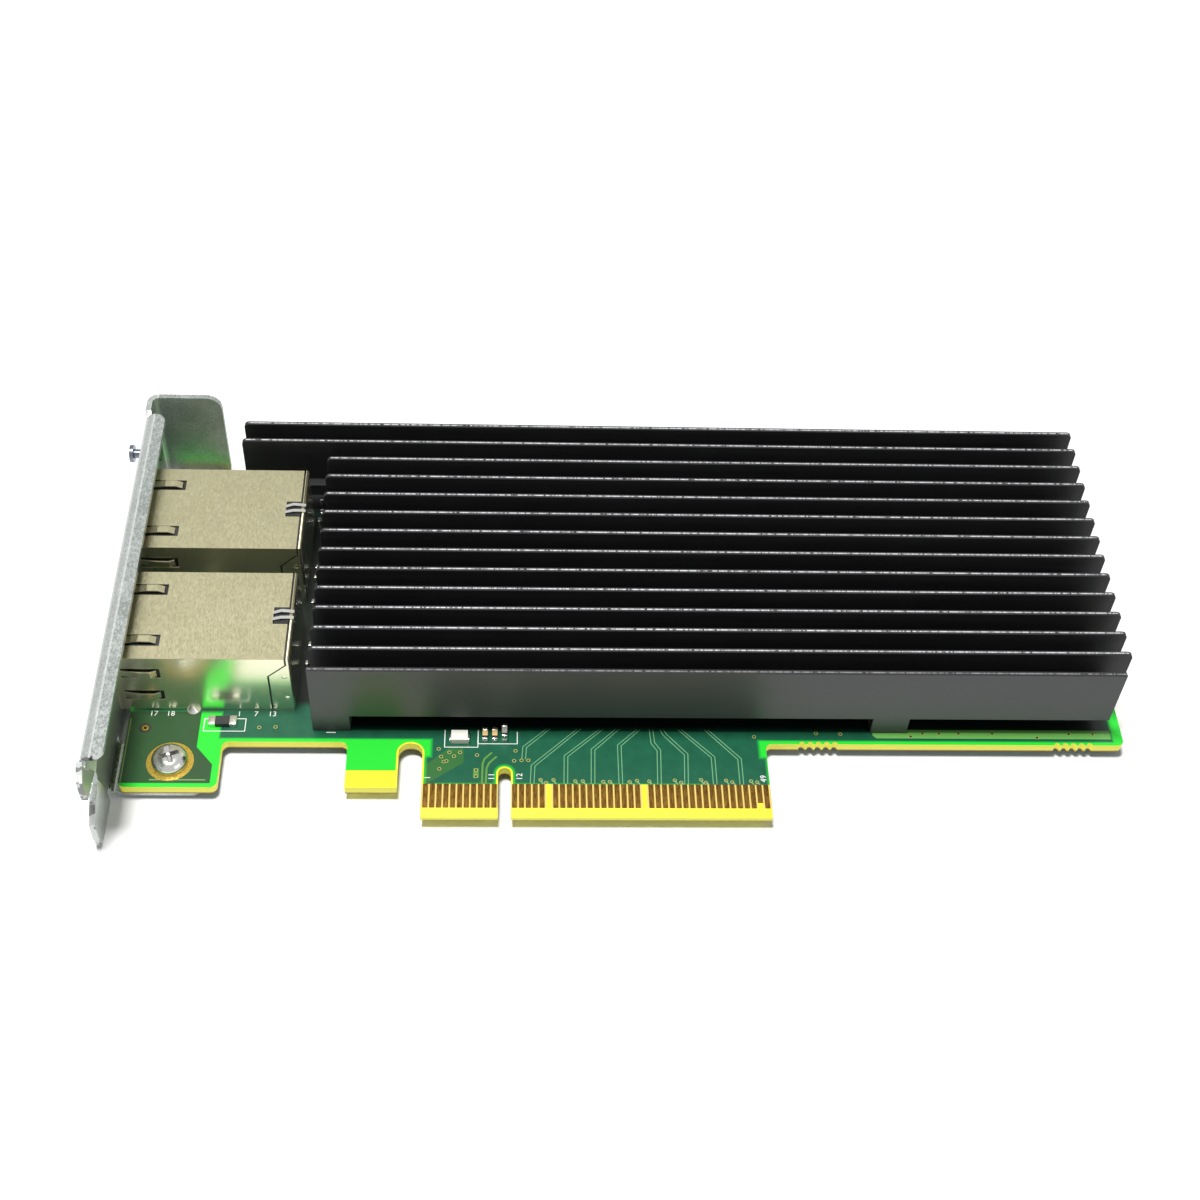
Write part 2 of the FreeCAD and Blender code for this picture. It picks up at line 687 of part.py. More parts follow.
def shield(name, portY):
    part = body(name)
    seamX = portRear - s.coverTop - s.shieldSeam
    flapX = portRear - s.coverFlap - s.shieldSeam
    side = sketchOn(part, "XZ", portY)
    polygon(side, [(portFace, 0), (flapX, 0), (flapX, s.portHeight - s.coverBevel),
                   (seamX, s.portHeight - s.coverShoulder), (seamX, s.portHeight),
                   (portFace, s.portHeight)])
    pad(part, side, s.portWidth)
    tabs = sketchOn(part, "XY", zero)
    for y in (zero, s.portWidth - s.shieldSheet):
        rectangle(tabs, groundTabX - s.tabWidth / 2, portY + y,
                  groundTabX + s.tabWidth / 2, portY + y + s.shieldSheet)
    pad(part, tabs, s.boardThickness + s.tabTail, -1)
    hollow = sketchOn(part, "XY", zero)
    rectangle(hollow, portFace + s.shieldSheet, portY + s.shieldSheet,
              portRear, portY + s.portWidth - s.shieldSheet)
    pocket(part, hollow, s.portHeight - s.shieldSheet)
    mouth = sketchOn(part, "YZ", portFace)
    middle = portY + s.portWidth / 2
    polygon(mouth, [
        (portY + plugFront, s.plugFloor), (middle - s.latchWidth / 2, s.plugFloor),
        (middle - s.latchWidth / 2, s.plugFloor - s.latchDepth),
        (middle + s.latchWidth / 2, s.plugFloor - s.latchDepth),
        (middle + s.latchWidth / 2, s.plugFloor), (portY + plugBack, s.plugFloor),
        (portY + plugBack, plugTop), (portY + plugFront, plugTop),
    ])
    for y in lensSpots:
        rectangle(mouth, portY + y, plugTop + s.lensDrop,
                  portY + y + s.lensWidth, plugTop + s.lensDrop + s.lensHeight)
    pocket(part, mouth, s.shieldSheet)
    slots = sketchOn(part, "XY", s.portHeight - s.shieldSheet)
    for y in (s.fingerInset, s.portWidth - s.fingerInset):
        rectangle(slots, portFace + s.fingerSetback, portY + y - s.fingerWindow / 2,
                  portFace + s.fingerSetback + s.fingerWindowLength, portY + y + s.fingerWindow / 2)
    rectangle(slots, seamX - s.clipLength, middle - s.clipWidth / 2, seamX, middle + s.clipWidth / 2)
    pocket(part, slots, s.shieldSheet)
    sideSlots = sketchOn(part, "XZ", portY)
    for z in (s.sideFingerLow, s.sideFingerHigh):
        rectangle(sideSlots, portFace + s.fingerSetback, z - s.fingerWindow / 2,
                  portFace + s.fingerSetback + s.fingerWindowLength, z + s.fingerWindow / 2)
    pocket(part, sideSlots, s.portWidth)
    for y in (s.fingerInset, s.portWidth - s.fingerInset):
        finger = sketchOn(part, "XZ", portY + y - s.fingerWidth / 2)
        polygon(finger, springOutline(s.portHeight, 1))
        pad(part, finger, s.fingerWidth)
    for z in (s.sideFingerLow, s.sideFingerHigh):
        finger = sketchOn(part, "XY", z - s.fingerWidth / 2)
        polygon(finger, springOutline(portY, -1))
        polygon(finger, springOutline(portY + s.portWidth, 1))
        pad(part, finger, s.fingerWidth)
    return part


def rearCover(name, portY):
    part = body(name)
    side = sketchOn(part, "XZ", portY)
    polygon(side, [(portRear, 0), (portRear, s.portHeight), (portRear - s.coverTop, s.portHeight),
                   (portRear - s.coverTop, s.portHeight - s.coverShoulder),
                   (portRear - s.coverFlap, s.portHeight - s.coverBevel), (portRear - s.coverFlap, 0)])
    pad(part, side, s.portWidth)
    roundEdges(part, s.coverCorner, lambda c, axis: near(c.x, portRear) and (
        (axis == "Y" and near(c.z, s.portHeight)) or axis == "Z"))
    hollow = sketchOn(part, "XY", zero)
    rectangle(hollow, portRear - s.coverFlap, portY + s.shieldSheet,
              portRear - s.shieldSheet, portY + s.portWidth - s.shieldSheet)
    pocket(part, hollow, s.portHeight - s.shieldSheet)
    tongue = sketchOn(part, "XY", s.portHeight - s.shieldSheet)
    middle = portY + s.portWidth / 2
    rectangle(tongue, portRear - s.coverTop - s.clipLength, middle - s.clipTongue / 2,
              portRear - s.shieldSheet, middle + s.clipTongue / 2)
    pad(part, tongue, s.shieldSheet)
    return part


def housing(name, portY):
    part = body(name)
    block = sketchOn(part, "XY", s.housingLift)
    rectangle(block, portFace + inner, portY + inner, portRear - inner, portY + s.portWidth - inner)
    pad(part, block, s.portHeight - inner - s.housingLift)
    middle = portY + s.portWidth / 2
    plug = sketchOn(part, "YZ", portFace + inner)
    polygon(plug, [
        (portY + plugFront, s.plugFloor), (middle - s.latchWidth / 2, s.plugFloor),
        (middle - s.latchWidth / 2, s.plugFloor - s.latchDepth),
        (middle + s.latchWidth / 2, s.plugFloor - s.latchDepth),
        (middle + s.latchWidth / 2, s.plugFloor), (portY + plugBack, s.plugFloor),
        (portY + plugBack, plugTop), (portY + plugFront, plugTop),
    ])
    pocket(part, plug, s.plugDepth)
    lamps = sketchOn(part, "YZ", portFace + inner)
    for y in lensSpots:
        rectangle(lamps, portY + y - s.housingGap, plugTop + s.lensDrop - s.housingGap,
                  portY + y + s.lensWidth + s.housingGap,
                  plugTop + s.lensDrop + s.lensHeight + s.housingGap)
    pocket(part, lamps, s.lensDepth)
    return part


def portContacts(prefix, portY):
    """Eight sprung wires in the plug cavity, and the solder pins under the port."""
    cavityEnd = portFace + inner + s.plugDepth
    wires = body(prefix + "Wires")
    first = portY + s.portWidth / 2 - s.contactPitch * (contactCount - 1) / 2 - s.contactWire / 2
    run = sketchOn(wires, "XZ", first)
    roof = plugTop - s.contactDrop
    free = cavityEnd - s.contactTip
    polygon(run, [
        (cavityEnd, roof), (cavityEnd - s.contactRun, roof),
        (cavityEnd - s.contactRun - s.contactBend, roof - s.contactBend),
        (free, s.contactLow - s.contactFall), (free, s.contactLow - s.contactFall + s.contactWire),
        (cavityEnd - s.contactRun, roof - s.contactWire), (cavityEnd, roof - s.contactWire),
    ])
    feature = pad(wires, run, s.contactWire)
    repeat(wires, feature, "XZ", "N_Axis", s.contactPitch, contactCount)
    length = s.housingLift + s.boardThickness + s.pinTail
    pins = [centredBox(f"{prefix}Pin{i}", portRear - x, portY + y, s.housingLift - length,
                       s.pinSide, s.pinSide, length) for i, (x, y) in enumerate(pinPlaces)]
    return group(prefix + "Contacts", [wires] + pins)


def lightPipes(prefix, portY):
    return group(prefix + "Lenses", [
        box(f"{prefix}Lens{i}", portFace + s.lensRecess, portY + y, plugTop + s.lensDrop,
            s.lensDepth + inner - s.lensRecess, s.lensWidth, s.lensHeight)
        for i, y in enumerate(lensSpots)])


for prefix, label, portY in (("Near", "near_port", nearPortY), ("Far", "far_port", farPortY)):
    node(label + "_shield", shield(prefix + "Shield", portY))
    node(label + "_rear_cover", rearCover(prefix + "Cover", portY))
    node(label + "_housing", housing(prefix + "Housing", portY))
    node(label + "_contacts", portContacts(prefix, portY))
    node(label + "_light_pipes", lightPipes(prefix, portY))

# ---- heatsink --------------------------------------------------------------

baseTop = s.baseBottom + s.baseThickness
sink = body("Heatsink")
base = sketchOn(sink, "XY", s.baseBottom)
baseRight = finsRight - s.wallShort
polygon(base, [(finsLeft, wallFront), (baseRight, wallFront), (baseRight, finsBack),
               (wingLeft, finsBack), (wingLeft, wingFront), (finsLeft, wingFront)])
pad(sink, base, s.baseThickness)
wall = sketchOn(sink, "XY", baseTop)
rectangle(wall, finsLeft, wallFront, baseRight, wallFront + s.wallThickness)
pad(sink, wall, s.finTop - baseTop)
fin = sketchOn(sink, "XY", baseTop)
rectangle(fin, finsLeft, finsFront, finsRight, finsFront + s.finThickness)
shortFin = pad(sink, fin, s.finTop - baseTop)
repeat(sink, shortFin, "XY", "V_Axis", s.finPitch, finCount - 2)
wings = sketchOn(sink, "XY", baseTop)
for i in (finCount - 2, finCount - 1):
    y = finsFront + s.finPitch * i
    rectangle(wings, wingLeft, y, finsRight, y + s.finThickness)
pad(sink, wings, s.finTop - baseTop)
feet = sketchOn(sink, "XY", s.baseBottom)
for x, y in sinkScrews:
    rectangle(feet, x - footMiddle, y - s.footDepth / 2, x + footMiddle, y + s.footDepth / 2)
pad(sink, feet, s.baseBottom, -1)
pilots = sketchOn(sink, "XY", zero)
for x, y in sinkScrews:
    circle(pilots, x, y, s.footHole)
pocket(sink, pilots, s.sinkScrewGrip + 0.4)
roundEdges(sink, s.finTopRound, lambda c, axis: axis == "Y" and near(c.z, s.finTop)
           and c.y > finsFront.value)
node("heatsink", sink)

screws = []
for i, (x, y) in enumerate(sinkScrews):
    screws.append(fuse(f"SinkScrew{i}", [
        cylinder(f"SinkScrewHead{i}", x, y, boardLow - s.sinkScrewHeadHeight,
                 s.sinkScrewHead, s.sinkScrewHeadHeight),
        cylinder(f"SinkScrewShank{i}", x, y, boardLow, s.sinkScrewShank,
                 s.boardThickness + s.sinkScrewGrip),
    ]))
node("heatsink_screws", group("SinkScrews", screws))

# ---- chips under the heatsink ----------------------------------------------

for label, x, y, side, lid in (
        ("controller", s.controllerX, s.controllerY, s.controllerSide, s.controllerLid),
        ("transceiver", -s.transceiverX, s.transceiverY, s.transceiverSide, s.transceiverLid)):
    lidTop = s.substrate + s.lidHeight
    node(label + "_substrate", centredBox(label + "Substrate", x, y, 0, side, side, s.substrate))
    node(label + "_lid", centredBox(label + "Lid", x, y, s.substrate, lid, lid, s.lidHeight))
    node(label + "_thermal_pad", centredBox(label + "ThermalPad", x, y, lidTop,
                                            lid, lid, s.baseBottom - lidTop))

inductors, drivers, tanks = [], [], []
for i in range(3):
    y = s.inductorY + s.driverFirst + s.inductorPitch * i
    inductors.append(centredBox(f"Inductor{i}", s.inductorX + s.inductorStep, y, 0,
                                s.inductorSide, s.inductorSide, s.inductorHeight))
    drivers.append(centredBox(f"Driver{i}", s.inductorX, y, 0,
                              s.driverSide, s.driverSide, s.driverHeight))
    tanks.append(centredBox(f"Tank{i}", s.inductorX + s.tankStep, y, 0,
                            s.tankWidth, s.tankLength, s.tankHeight))
node("regulator_inductors", group("Inductors", inductors))
node("regulator_drivers", group("Drivers", drivers))
node("tank_capacitors", group("Tanks", tanks))
node("flash_memory_chip", centredBox("Flash", s.controllerX + s.flashStepX, s.controllerY - s.flashStepY, 0,
                                     s.chipLength, s.chipWidth, s.chipHeight))
node("clock_crystal", centredBox("Crystal", s.controllerX, s.controllerY + s.crystalStep, 0,
                                 s.crystalLength, s.crystalWidth, s.crystalHeight))

smalls = [(s.controllerX + side * s.sideRow, s.controllerY + s.smallPitch * i)
          for side in (-1, 1) for i in range(-3, 4)]
node("chip_capacitors_component_side", group("UpperCapacitors", [
    centredBox(f"UpperCapacitor{i}", x, y, 0, s.smallLength, s.smallWidth, s.smallHeight)
    for i, (x, y) in enumerate(smalls)]))

under = [(s.controllerX + s.smallPitch * i, s.controllerY + s.smallPitch * j)
         for i in range(-2, 3) for j in (-2, -1, 1, 2)]
under += [(-s.transceiverX + s.smallPitch * i, s.transceiverY + s.smallPitch * j)
          for i in range(-2, 3) for j in (-1, 1)]
node("chip_capacitors_solder_side", group("LowerCapacitors", [
    centredBox(f"LowerCapacitor{i}", x, y, boardLow - s.smallHeight,
               s.smallLength, s.smallWidth, s.smallHeight)
    for i, (x, y) in enumerate(under)]))

# ---- parts in view along the front edge ------------------------------------

node("surge_suppressor", centredBox("Suppressor", portRear - s.suppressorInset, s.suppressorY, 0,
                                    s.suppressorLength, s.suppressorWidth, s.suppressorHeight))
node("common_mode_filter", centredBox("Filter", -s.frontChipX, s.frontChipY, 0,
                                      s.frontChipLength, s.frontChipWidth, s.frontChipHeight))
node("front_capacitors", group("FrontCapacitors", [
    centredBox(f"FrontCapacitor{i}", -s.frontRowX + s.frontRowPitch * i, s.frontRowY, 0,
               s.frontRowWidth, s.frontRowLength, s.frontRowHeight) for i in range(2)]))
node("front_filter", centredBox("FrontFilter", -s.frontRowX + s.frontRowPitch * 2, s.frontRowY, 0,
                                s.frontRowWidth, s.frontRowLength, s.greyPartHeight))

# ---- check and export ------------------------------------------------------

doc.recompute()
for item in doc.Objects:
    if "Invalid" in item.State or "Error" in item.State:
        raise RuntimeError(f"{item.Name} ({item.Label}): {item.State}")
os.makedirs("parts", exist_ok=True)
for name, item in nodes.items():
    if item.Shape.isNull() or not item.Shape.isValid() or not item.Shape.Solids:
        raise RuntimeError(f"{name} has no valid solid")
    item.Shape.exportStep(f"parts/{name}.step")
    print(f"{name}: {len(item.Shape.Solids)} solid(s), {item.Shape.Volume:.1f} mm3")
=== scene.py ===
import json
import math

import bmesh
import bpy
from mathutils import Matrix, Vector


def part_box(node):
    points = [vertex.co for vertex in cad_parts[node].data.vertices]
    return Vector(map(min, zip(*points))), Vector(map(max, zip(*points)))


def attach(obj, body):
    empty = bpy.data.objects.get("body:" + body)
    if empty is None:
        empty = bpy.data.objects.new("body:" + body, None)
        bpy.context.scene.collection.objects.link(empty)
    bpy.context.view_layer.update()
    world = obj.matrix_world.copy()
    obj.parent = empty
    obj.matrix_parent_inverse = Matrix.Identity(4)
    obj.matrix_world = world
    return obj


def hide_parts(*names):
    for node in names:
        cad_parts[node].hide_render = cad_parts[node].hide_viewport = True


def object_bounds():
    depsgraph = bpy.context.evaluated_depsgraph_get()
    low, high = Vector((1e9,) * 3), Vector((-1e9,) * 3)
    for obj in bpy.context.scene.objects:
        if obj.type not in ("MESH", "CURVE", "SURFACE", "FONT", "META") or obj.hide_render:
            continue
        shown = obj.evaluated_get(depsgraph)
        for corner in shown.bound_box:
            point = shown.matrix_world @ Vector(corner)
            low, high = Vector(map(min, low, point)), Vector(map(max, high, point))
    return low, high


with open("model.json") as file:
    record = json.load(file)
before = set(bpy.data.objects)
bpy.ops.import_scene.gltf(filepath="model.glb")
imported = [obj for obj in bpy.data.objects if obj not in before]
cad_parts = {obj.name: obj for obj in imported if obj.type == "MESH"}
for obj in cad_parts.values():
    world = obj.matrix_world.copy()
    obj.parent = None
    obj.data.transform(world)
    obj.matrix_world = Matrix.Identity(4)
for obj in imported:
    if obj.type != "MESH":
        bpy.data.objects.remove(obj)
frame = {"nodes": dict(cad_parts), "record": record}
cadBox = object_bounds()
nodes = frame["nodes"]
mm = 0.001


# a node's corners in millimetres
def boxOf(node):
    low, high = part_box(node)
    return Vector(low) / mm, Vector(high) / mm


def srgb(red, green, blue):
    # screen colour 0-255 to linear
    def channel(c):
        c = c / 255
        return c / 12.92 if c <= 0.04045 else ((c + 0.055) / 1.055) ** 2.4
    return (channel(red), channel(green), channel(blue), 1.0)


class Signal:
    # wraps one socket, so that shader maths reads as plain maths
    def __init__(self, shop, socket):
        self.shop = shop
        self.socket = socket

    def through(self, operation, *others):
        return self.shop.maths(operation, self, *others)

    def offNearest(self, pitch):
        # how far off the nearest multiple of the pitch
        return abs(self.through("WRAP", pitch / 2, -pitch / 2))

    def __add__(self, other):
        return self.through("ADD", other)

    def __sub__(self, other):
        return self.through("SUBTRACT", other)

    def __rsub__(self, other):
        return self.shop.maths("SUBTRACT", other, self)

    def __mul__(self, other):
        return self.through("MULTIPLY", other)

    def __or__(self, other):
        return self.through("MAXIMUM", other)

    def __and__(self, other):
        return self.through("MINIMUM", other)

    def __abs__(self):
        return self.through("ABSOLUTE")

    __radd__ = __add__
    __rmul__ = __mul__


class NodeShop:
    # adds nodes to the emptied tree of a material or world
    def __init__(self, owner):
        owner.use_nodes = True
        self.tree = owner.node_tree
        self.tree.nodes.clear()

    def add(self, kind, settings=None, inputs=None):
        node = self.tree.nodes.new(kind)
        for key, value in (settings or {}).items():
            setattr(node, key, value)
        for key, value in (inputs or {}).items():
            self.feed(node.inputs[key], value)
        return node

    def feed(self, socket, value):
        # link a signal or a socket; anything else is the socket's own value
        if isinstance(value, Signal):
            value = value.socket
        if isinstance(value, bpy.types.NodeSocket):
            self.tree.links.new(value, socket)
        else:
            socket.default_value = value

    def maths(self, operation, *values):
        node = self.add("ShaderNodeMath", {"operation": operation}, dict(enumerate(values)))
        return Signal(self, node.outputs[0])


class Workshop(NodeShop):
    # one material and the patterns it is made of
    def __init__(self, name):
        self.material = bpy.data.materials.new(name)
        super().__init__(self.material)
        self.surface = self.add("ShaderNodeBsdfPrincipled")
        self.add("ShaderNodeOutputMaterial", {}, {"Surface": self.surface.outputs[0]})
        self.place = None

    def millimetres(self):
        # the object's own coordinates, scaled to millimetres
        if self.place is None:
            coordinates = self.add("ShaderNodeTexCoord")
            scaled = self.add("ShaderNodeVectorMath", {"operation": "SCALE"},
                              {0: coordinates.outputs["Object"], "Scale": 1 / mm})
            self.place = scaled.outputs[0]
        return self.place

    def axes(self):
        split = self.add("ShaderNodeSeparateXYZ", {}, {0: self.millimetres()})
        return [Signal(self, out) for out in split.outputs]

    def normalAxes(self):
        geometry = self.add("ShaderNodeNewGeometry")
        split = self.add("ShaderNodeSeparateXYZ", {}, {0: geometry.outputs["Normal"]})
        return [Signal(self, out) for out in split.outputs]

    def noise(self, perMm, detail=3.0, roughness=0.5, stretch=None):
        vector = self.millimetres()
        if stretch:
            vector = self.add("ShaderNodeVectorMath", {"operation": "MULTIPLY"},
                              {0: vector, 1: stretch}).outputs[0]
        node = self.add("ShaderNodeTexNoise", {}, {
            "Vector": vector, "Scale": perMm, "Detail": detail, "Roughness": roughness})
        return Signal(self, node.outputs["Fac"])

    def spread(self, value, low, high, bottom=0.0, top=1.0):
        node = self.add("ShaderNodeMapRange", {"clamp": True}, {
            "Value": value, "From Min": low, "From Max": high, "To Min": bottom, "To Max": top})
        return Signal(self, node.outputs["Result"])

    def blend(self, share, first, second):
        node = self.add("ShaderNodeMix", {"data_type": "RGBA"}, {0: share, 6: first, 7: second})
        return node.outputs[2]

    def bump(self, height, distance):
        node = self.add("ShaderNodeBump", {}, {
            "Height": height, "Distance": distance * mm, "Strength": 1.0})
        self.feed(self.surface.inputs["Normal"], node.outputs[0])

    def window(self, x, y, low, high, soft=0.04):
        # 1 inside a rectangle of the board's plan, softly fading at its rim
        inside = self.spread(x, low[0] - soft, low[0] + soft)
        inside = inside & self.spread(x, high[0] + soft, high[0] - soft)
        inside = inside & self.spread(y, low[1] - soft, low[1] + soft)
        return inside & self.spread(y, high[1] + soft, high[1] - soft)

    def slant(self, x, y, perX, perY, limit, soft):
        # 1 past a slanted line of the plan, or before it where soft is negative
        return self.spread(x * perX + y * perY, limit - soft, limit + soft)

    def windows(self, x, y, spots):
        # 1 inside any of the rectangles
        first, *others = [self.window(x, y, *spot) for spot in spots]
        for other in others:
            first = first | other
        return first

    def finish(self, **sockets):
        for key, value in sockets.items():
            self.feed(self.surface.inputs[socketNames[key]], value)
        return self.material


socketNames = {
    "color": "Base Color", "roughness": "Roughness", "metallic": "Metallic",
    "specular": "Specular IOR Level", "transmission": "Transmission Weight",
}

print("stage: materials")

padLow, padHigh = boxOf("edge_contacts_component_side")
padHalf = 0.375
padGrid = (padLow.x + padHalf, padHigh.x - padHalf)
contactEnd = 5.53                # upper end of the gold contacts
hookMask = 7.87                  # the solder mask ends here on the hook tab
tabLow = 5.5                     # lower end of the screw tab's copper

# areas are two corners of the plan and, where it differs, how soft the rim is;
# slants are the shares of x and y, where the line lies and how soft it is
boardArt = {
    "deep": srgb(18, 78, 56),
    "deepLight": srgb(30, 104, 74),
    "bright": srgb(40, 218, 54),
    "olive": srgb(44, 72, 32),
    "lightCopper": srgb(118, 190, 92),
    "patchCopper": srgb(58, 112, 52),
    "gapShade": srgb(11, 22, 18),
    "copperLine": srgb(150, 190, 110),
    "laminate": srgb(255, 250, 28),
    # the cut faces' paler yellow is painted light, making up for the light their upright faces miss
    "litLaminateEdge": srgb(255, 255, 96),
    "laminateShade": srgb(222, 196, 52),
    # painted shadow colour for the foot of the cut faces
    "shadowBrownEdge": srgb(150, 104, 48),
    "betweenPads": srgb(226, 200, 106),
    "deepAreas": (
        ((-42.3, 13.6), (92.4, 67.6), 0.2),
        ((-10.9, contactEnd), (38.1, 14.5), 0.3),
        ((-12.35, contactEnd - 0.4), (-10.0, 10.4), 0.3),
        ((30.0, contactEnd - 0.4), (39.0, 10.4), 0.3),
        ((-55.6, 18.4), (-40.0, 67.6), 0.3),
    ),
    "shadedAreas": (
        ((-33.0, 20.0), (-24.0, 66.0), 0.6),
        ((-55.0, 35.9), (-30.0, 40.5), 0.4),
        ((-26.5, 15.5), (91.5, 64.0), 0.6),
    ),
    "tabFoot": ((-57.0, tabLow), (-42.8, 12.05)),
    "tabSlant": (1.0, 0.826, -35.5, -0.05),
    "tabStem": ((-57.0, 11.9), (-45.4, 18.5)),
    "tabRims": (
        ((-51.6, tabLow + 0.5), (-43.5, tabLow + 0.68)),
        ((-55.8, tabLow + 0.1), (-55.6, 17.2)),
    ),
    "strip": ((55.6, 14.15), (92.2, 15.75)),
    "stripSlant": (1.0, 1.0, 70.275, 0.075),
    "patch": ((-11.8, 5.55), (-6.1, 11.9)),
    "patchSlants": ((-0.88, 1.0, 19.25, -0.05), (-0.72, 1.0, 13.75, 0.05)),
    "bareAreas": (
        ((-12.6, -1.0), (39.6, contactEnd), 0.03),
        ((-24.0, 4.0), (-15.0, hookMask), 0.03),
    ),
    "padRow": ((-12.6, 1.4), (39.6, contactEnd), 0.03),
    "padPitch": 1.0,
    "padReach": 0.3,
    "notches": ((0.0, 7.45, 0.95), (-13.94, 11.01, 1.79)),    # middle, start of the round end, radius
    "paintedRim": 0.3,              # how far round a notch a bare-laminate rim is painted, a painted highlight for the notch's lit cut face
    "brightRim": 0.8,            # and how far the brighter mask reaches
    "plyWaves": 24.0,            # radians per mm of the layers in a cut face
    "greenEdge": -55.6,          # the left edge is masked too
    "shadowLineBelow": -1.25,
}


def boardMaterial():
    art = boardArt
    shop = Workshop("solderMaskBoard")
    x, y, z = shop.axes()
    normal = shop.normalAxes()
    mottle = shop.noise(0.55, 4.0, 0.6)
    fine = shop.noise(9.0, 2.0)
    inner = shop.windows(x, y, art["deepAreas"])
    color = shop.blend(inner, art["bright"], shop.blend(mottle, art["deep"], art["deepLight"]))
    # painted shade under the heatsink and behind the ports
    shaded = shop.windows(x, y, art["shadedAreas"]) & shop.spread(z, -0.4, -0.2)
    color = shop.blend(shaded, color, art["gapShade"])
    # copper areas that show through the mask
    tab = shop.window(x, y, *art["tabFoot"]) & shop.slant(x, y, *art["tabSlant"])
    tab = tab | shop.window(x, y, *art["tabStem"])
    color = shop.blend(tab, color, shop.blend(mottle * 0.35, art["olive"], art["deepLight"]))
    color = shop.blend(shop.windows(x, y, art["tabRims"]) * 0.7, color, art["copperLine"])
    strip = shop.window(x, y, *art["strip"]) & shop.slant(x, y, *art["stripSlant"])
    color = shop.blend(strip, color, art["lightCopper"])
    patch = shop.window(x, y, *art["patch"])
    for slant in art["patchSlants"]:
        patch = patch & shop.slant(x, y, *slant)
    color = shop.blend(patch * 0.8, color, art["patchCopper"])
    # bare laminate: between the contacts, the end of the hook tab and every cut edge; round the notches a
    # painted highlight as a bare-laminate rim
    bareAndPaintedRims = shop.windows(x, y, art["bareAreas"])
    for centreX, roundStart, radius in art["notches"]:
        rise = (y - roundStart) | 0.0
        reach = (x - centreX) * (x - centreX) + rise * rise
        paintedRimEdge = (radius + art["paintedRim"]) ** 2
        halo = shop.spread(reach, (radius + art["brightRim"]) ** 2, paintedRimEdge)
        color = shop.blend(halo * 0.7, color, art["bright"])
        # painted highlight: a bright bare-laminate rim round the notch
        bareAndPaintedRims = bareAndPaintedRims | shop.spread(reach, paintedRimEdge, (radius + art["paintedRim"] - 0.08) ** 2)
    # cut faces take the paler painted-light yellow, banded by the plies
    plies = (z * art["plyWaves"]).through("SINE") * 0.5 + 0.5
    cutFace = shop.blend(plies * 0.2, art["litLaminateEdge"], art["laminateShade"])
    # painted shadow: the lowest part of every cut face is painted brown, a thin shadow line under the board
    paintedShadowLine = shop.spread(z, art["shadowLineBelow"], art["shadowLineBelow"] - 0.15)
    cutFace = shop.blend(paintedShadowLine, cutFace, art["shadowBrownEdge"])
    leftEdge = shop.spread(x, art["greenEdge"], art["greenEdge"] - 0.2)
    cutFace = shop.blend(leftEdge * 0.85, cutFace, art["deep"])
    # the contacts' pitch is counted from the left end before the key notch and from the right end past it
    start = shop.spread(x, -0.01, 0.01) * (padGrid[1] - padGrid[0]) + padGrid[0]
    between = shop.spread((x - start).offNearest(art["padPitch"]), art["padReach"], art["padReach"] + 0.04)
    between = between & shop.window(x, y, *art["padRow"])
    flatFace = shop.blend(between, art["laminate"], art["betweenPads"])
    upright = abs(normal[2])
    cut = shop.spread(upright, 0.93, 0.88)
    laminate = shop.blend(cut, flatFace, cutFace)
    # the underside has the same green mask right up to its edges
    below = shop.spread(z, -1.2, -1.5) & shop.spread(upright, 0.88, 0.93)
    color = shop.blend(below * (1 - bareAndPaintedRims), color, shop.blend(mottle, art["deep"], art["deepLight"]))
    dry = bareAndPaintedRims | cut
    color = shop.blend(dry, color, laminate)
    shop.bump(mottle * 0.3 + fine * 0.12, 0.05)
    return shop.finish(color=color, roughness=shop.spread(dry, 0.0, 1.0, 0.28, 0.55), specular=0.5)


# the upright faces of a port shield, which are smoother than its brushed top and painted paler as painted
# light for their bright reflections
shieldSidesPolishAndLight = {
    # the paler colour and its share are painted light on the upright faces
    "color": srgb(242, 240, 214),
    "share": 0.9,
    "roughness": 0.25,
    "metallicLoss": 0.06,
    "streak": 0.25,
}


def metalMaterial(name, low, high, roughness, grain=None, bump=0.004, polishAndLight=None):
    shop = Workshop(name)
    cloud = shop.noise(0.12, 3.0, 0.6)
    streak = shop.noise(5.0, 3.0, 0.6, grain)
    shade = cloud * 0.45 + streak * 0.55
    color = shop.blend(shop.spread(shade, 0.3, 0.7), low, high)
    rough = shop.spread(streak, 0.3, 0.7, roughness * 0.8, roughness * 1.25)
    metallic = 1.0
    if polishAndLight:
        top = shop.spread(abs(shop.normalAxes()[2]), 0.3, 0.6)
        upright = 1 - top
        rough = rough * top + upright * polishAndLight["roughness"]
        # upright faces are blended to a paler colour: painted light
        color = shop.blend(upright * polishAndLight["share"], color, polishAndLight["color"])
        metallic = 1 - upright * polishAndLight["metallicLoss"]
        streak = streak * shop.spread(top, 0.0, 1.0, polishAndLight["streak"], 1.0)
    shop.bump(streak, bump)
    return shop.finish(color=color, roughness=rough, metallic=metallic)


bracketFinish = {
    "low": srgb(162, 169, 165),
    "high": srgb(205, 211, 207),
    "bendHighlight": srgb(240, 244, 240),
    "rolled": srgb(212, 217, 213),   # smooth part of a sheared edge
    "sheared": srgb(34, 36, 35),
    "forkStart": -1.0,           # the side flange's near end
    "bendLine": -56.55,
    "flangeTop": 15.3,
}


